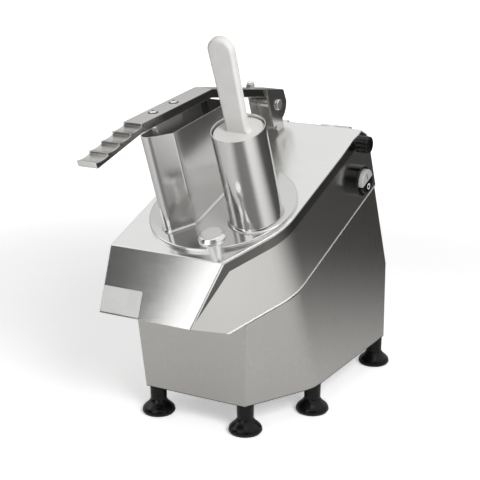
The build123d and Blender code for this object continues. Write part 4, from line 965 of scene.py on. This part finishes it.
def make_world(settings):
    """White to the camera; for the metal a pale room with two black cards, front left and front right."""
    world = bpy.data.worlds.new("studio")
    bpy.context.scene.world = world
    world.use_nodes = True
    tree = world.node_tree
    tree.nodes.clear()
    output = tree.nodes.new("ShaderNodeOutputWorld")
    direction = tree.nodes.new("ShaderNodeTexCoord").outputs["Generated"]
    rise = add_step(tree, add_reach(tree, direction, (0.0, 0.0, 1.0)), 0.0, 0.75, 0.55, 1.0)
    left = add_step(tree, add_reach(tree, direction, (-0.63, -0.75, 0.2)), 0.86, 0.95)
    front = add_step(tree, add_reach(tree, direction, (0.56, -0.8, 0.2)), 0.86, 0.96)
    cards = add_math(tree, "MAXIMUM", left, front)
    open_sky = add_math(tree, "SUBTRACT", 1.0, add_math(tree, "MULTIPLY", cards, settings.card_depth))
    level = add_math(tree, "MULTIPLY", rise, open_sky)
    path = tree.nodes.new("ShaderNodeLightPath")
    surplus = settings.room_level - settings.sky_level
    glossy = add_math(tree, "MULTIPLY", path.outputs["Is Glossy Ray"], surplus)
    strength = add_math(tree, "MULTIPLY", level, add_math(tree, "ADD", glossy, settings.sky_level))
    surround = tree.nodes.new("ShaderNodeBackground")
    tree.links.new(strength, surround.inputs["Strength"])
    surround.inputs["Color"].default_value = (1, 1, 1, 1)
    seen = tree.nodes.new("ShaderNodeBackground")
    seen.inputs["Color"].default_value = (1, 1, 1, 1)
    choose = tree.nodes.new("ShaderNodeMixShader")
    tree.links.new(path.outputs["Is Camera Ray"], choose.inputs[0])
    tree.links.new(surround.outputs[0], choose.inputs[1])
    tree.links.new(seen.outputs[0], choose.inputs[2])
    tree.links.new(choose.outputs[0], output.inputs["Surface"])


def make_camera():
    """Camera at the photograph's place: from the front right, a little above the machine."""
    azimuth = math.radians(29.67)
    elevation = math.radians(16.17)
    roll = math.radians(-0.2)
    focal_share = 1300 / 480
    place = camera_place()
    level = Vector((-math.sin(azimuth), math.cos(azimuth), 0))
    forward = level * math.cos(elevation) - Vector((0, 0, math.sin(elevation)))
    data = bpy.data.cameras.new("camera")
    data.sensor_width = 36.0
    data.sensor_fit = "HORIZONTAL"
    data.lens = focal_share * data.sensor_width
    data.clip_start = 0.05
    camera = bpy.data.objects.new("camera", data)
    turn = forward.to_track_quat("-Z", "Y").to_matrix().to_4x4()
    camera.matrix_world = Matrix.Translation(place) @ turn @ Matrix.Rotation(roll, 4, "Z")
    bpy.context.scene.collection.objects.link(camera)
    bpy.context.scene.camera = camera


def camera_place():
    """Measured from a point below the lid, set out from the disc's centre."""
    foot = on_lid(49.5, -129.0, -240.5)
    return foot + Vector((0.833, -1.471, 0.735))


class CUTTER_PT_panel(bpy.types.Panel):
    """Sidebar panel with the machine's looks"""

    bl_idname = "CUTTER_PT_panel"
    bl_label = "Vegetable cutter"
    bl_space_type = "VIEW_3D"
    bl_region_type = "UI"
    bl_category = "Cutter"

    def draw(self, context):
        layout = self.layout
        for name in ("cutter_finish", "cutter_fastenings", "cutter_plate", "cutter_stage"):
            settings = getattr(context.scene, name)
            box = layout.box()
            for prop in settings.bl_rna.properties:
                if prop.identifier not in ("rna_type", "name"):
                    box.prop(settings, prop.identifier)
        for operator in OPERATORS:
            layout.operator(operator.bl_idname)


SETTINGS = {
    "cutter_finish": FinishSettings,
    "cutter_fastenings": FasteningSettings,
    "cutter_plate": PlateSettings,
    "cutter_stage": StageSettings,
}
OPERATORS = (
    CUTTER_OT_finishes,
    CUTTER_OT_blank_plate,
    CUTTER_OT_fastenings,
    CUTTER_OT_button_marks,
    CUTTER_OT_stage,
)


def register():
    """Add the settings, the operators and the panel to Blender."""
    for settings in SETTINGS.values():
        bpy.utils.register_class(settings)
    for name, settings in SETTINGS.items():
        setattr(bpy.types.Scene, name, PointerProperty(type=settings))
    for operator in OPERATORS:
        bpy.utils.register_class(operator)
    bpy.utils.register_class(CUTTER_PT_panel)


def unregister():
    """Take them out again."""
    bpy.utils.unregister_class(CUTTER_PT_panel)
    for operator in reversed(OPERATORS):
        bpy.utils.unregister_class(operator)
    for name in SETTINGS:
        delattr(bpy.types.Scene, name)
    for settings in reversed(list(SETTINGS.values())):
        bpy.utils.unregister_class(settings)


def main():
    """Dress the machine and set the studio."""
    register()
    bpy.ops.cutter.stage()
    bpy.ops.cutter.finishes()
    bpy.ops.cutter.blank_plate()
    bpy.ops.cutter.fastenings()
    bpy.ops.cutter.button_marks()


if __name__ == "__main__":
    main()
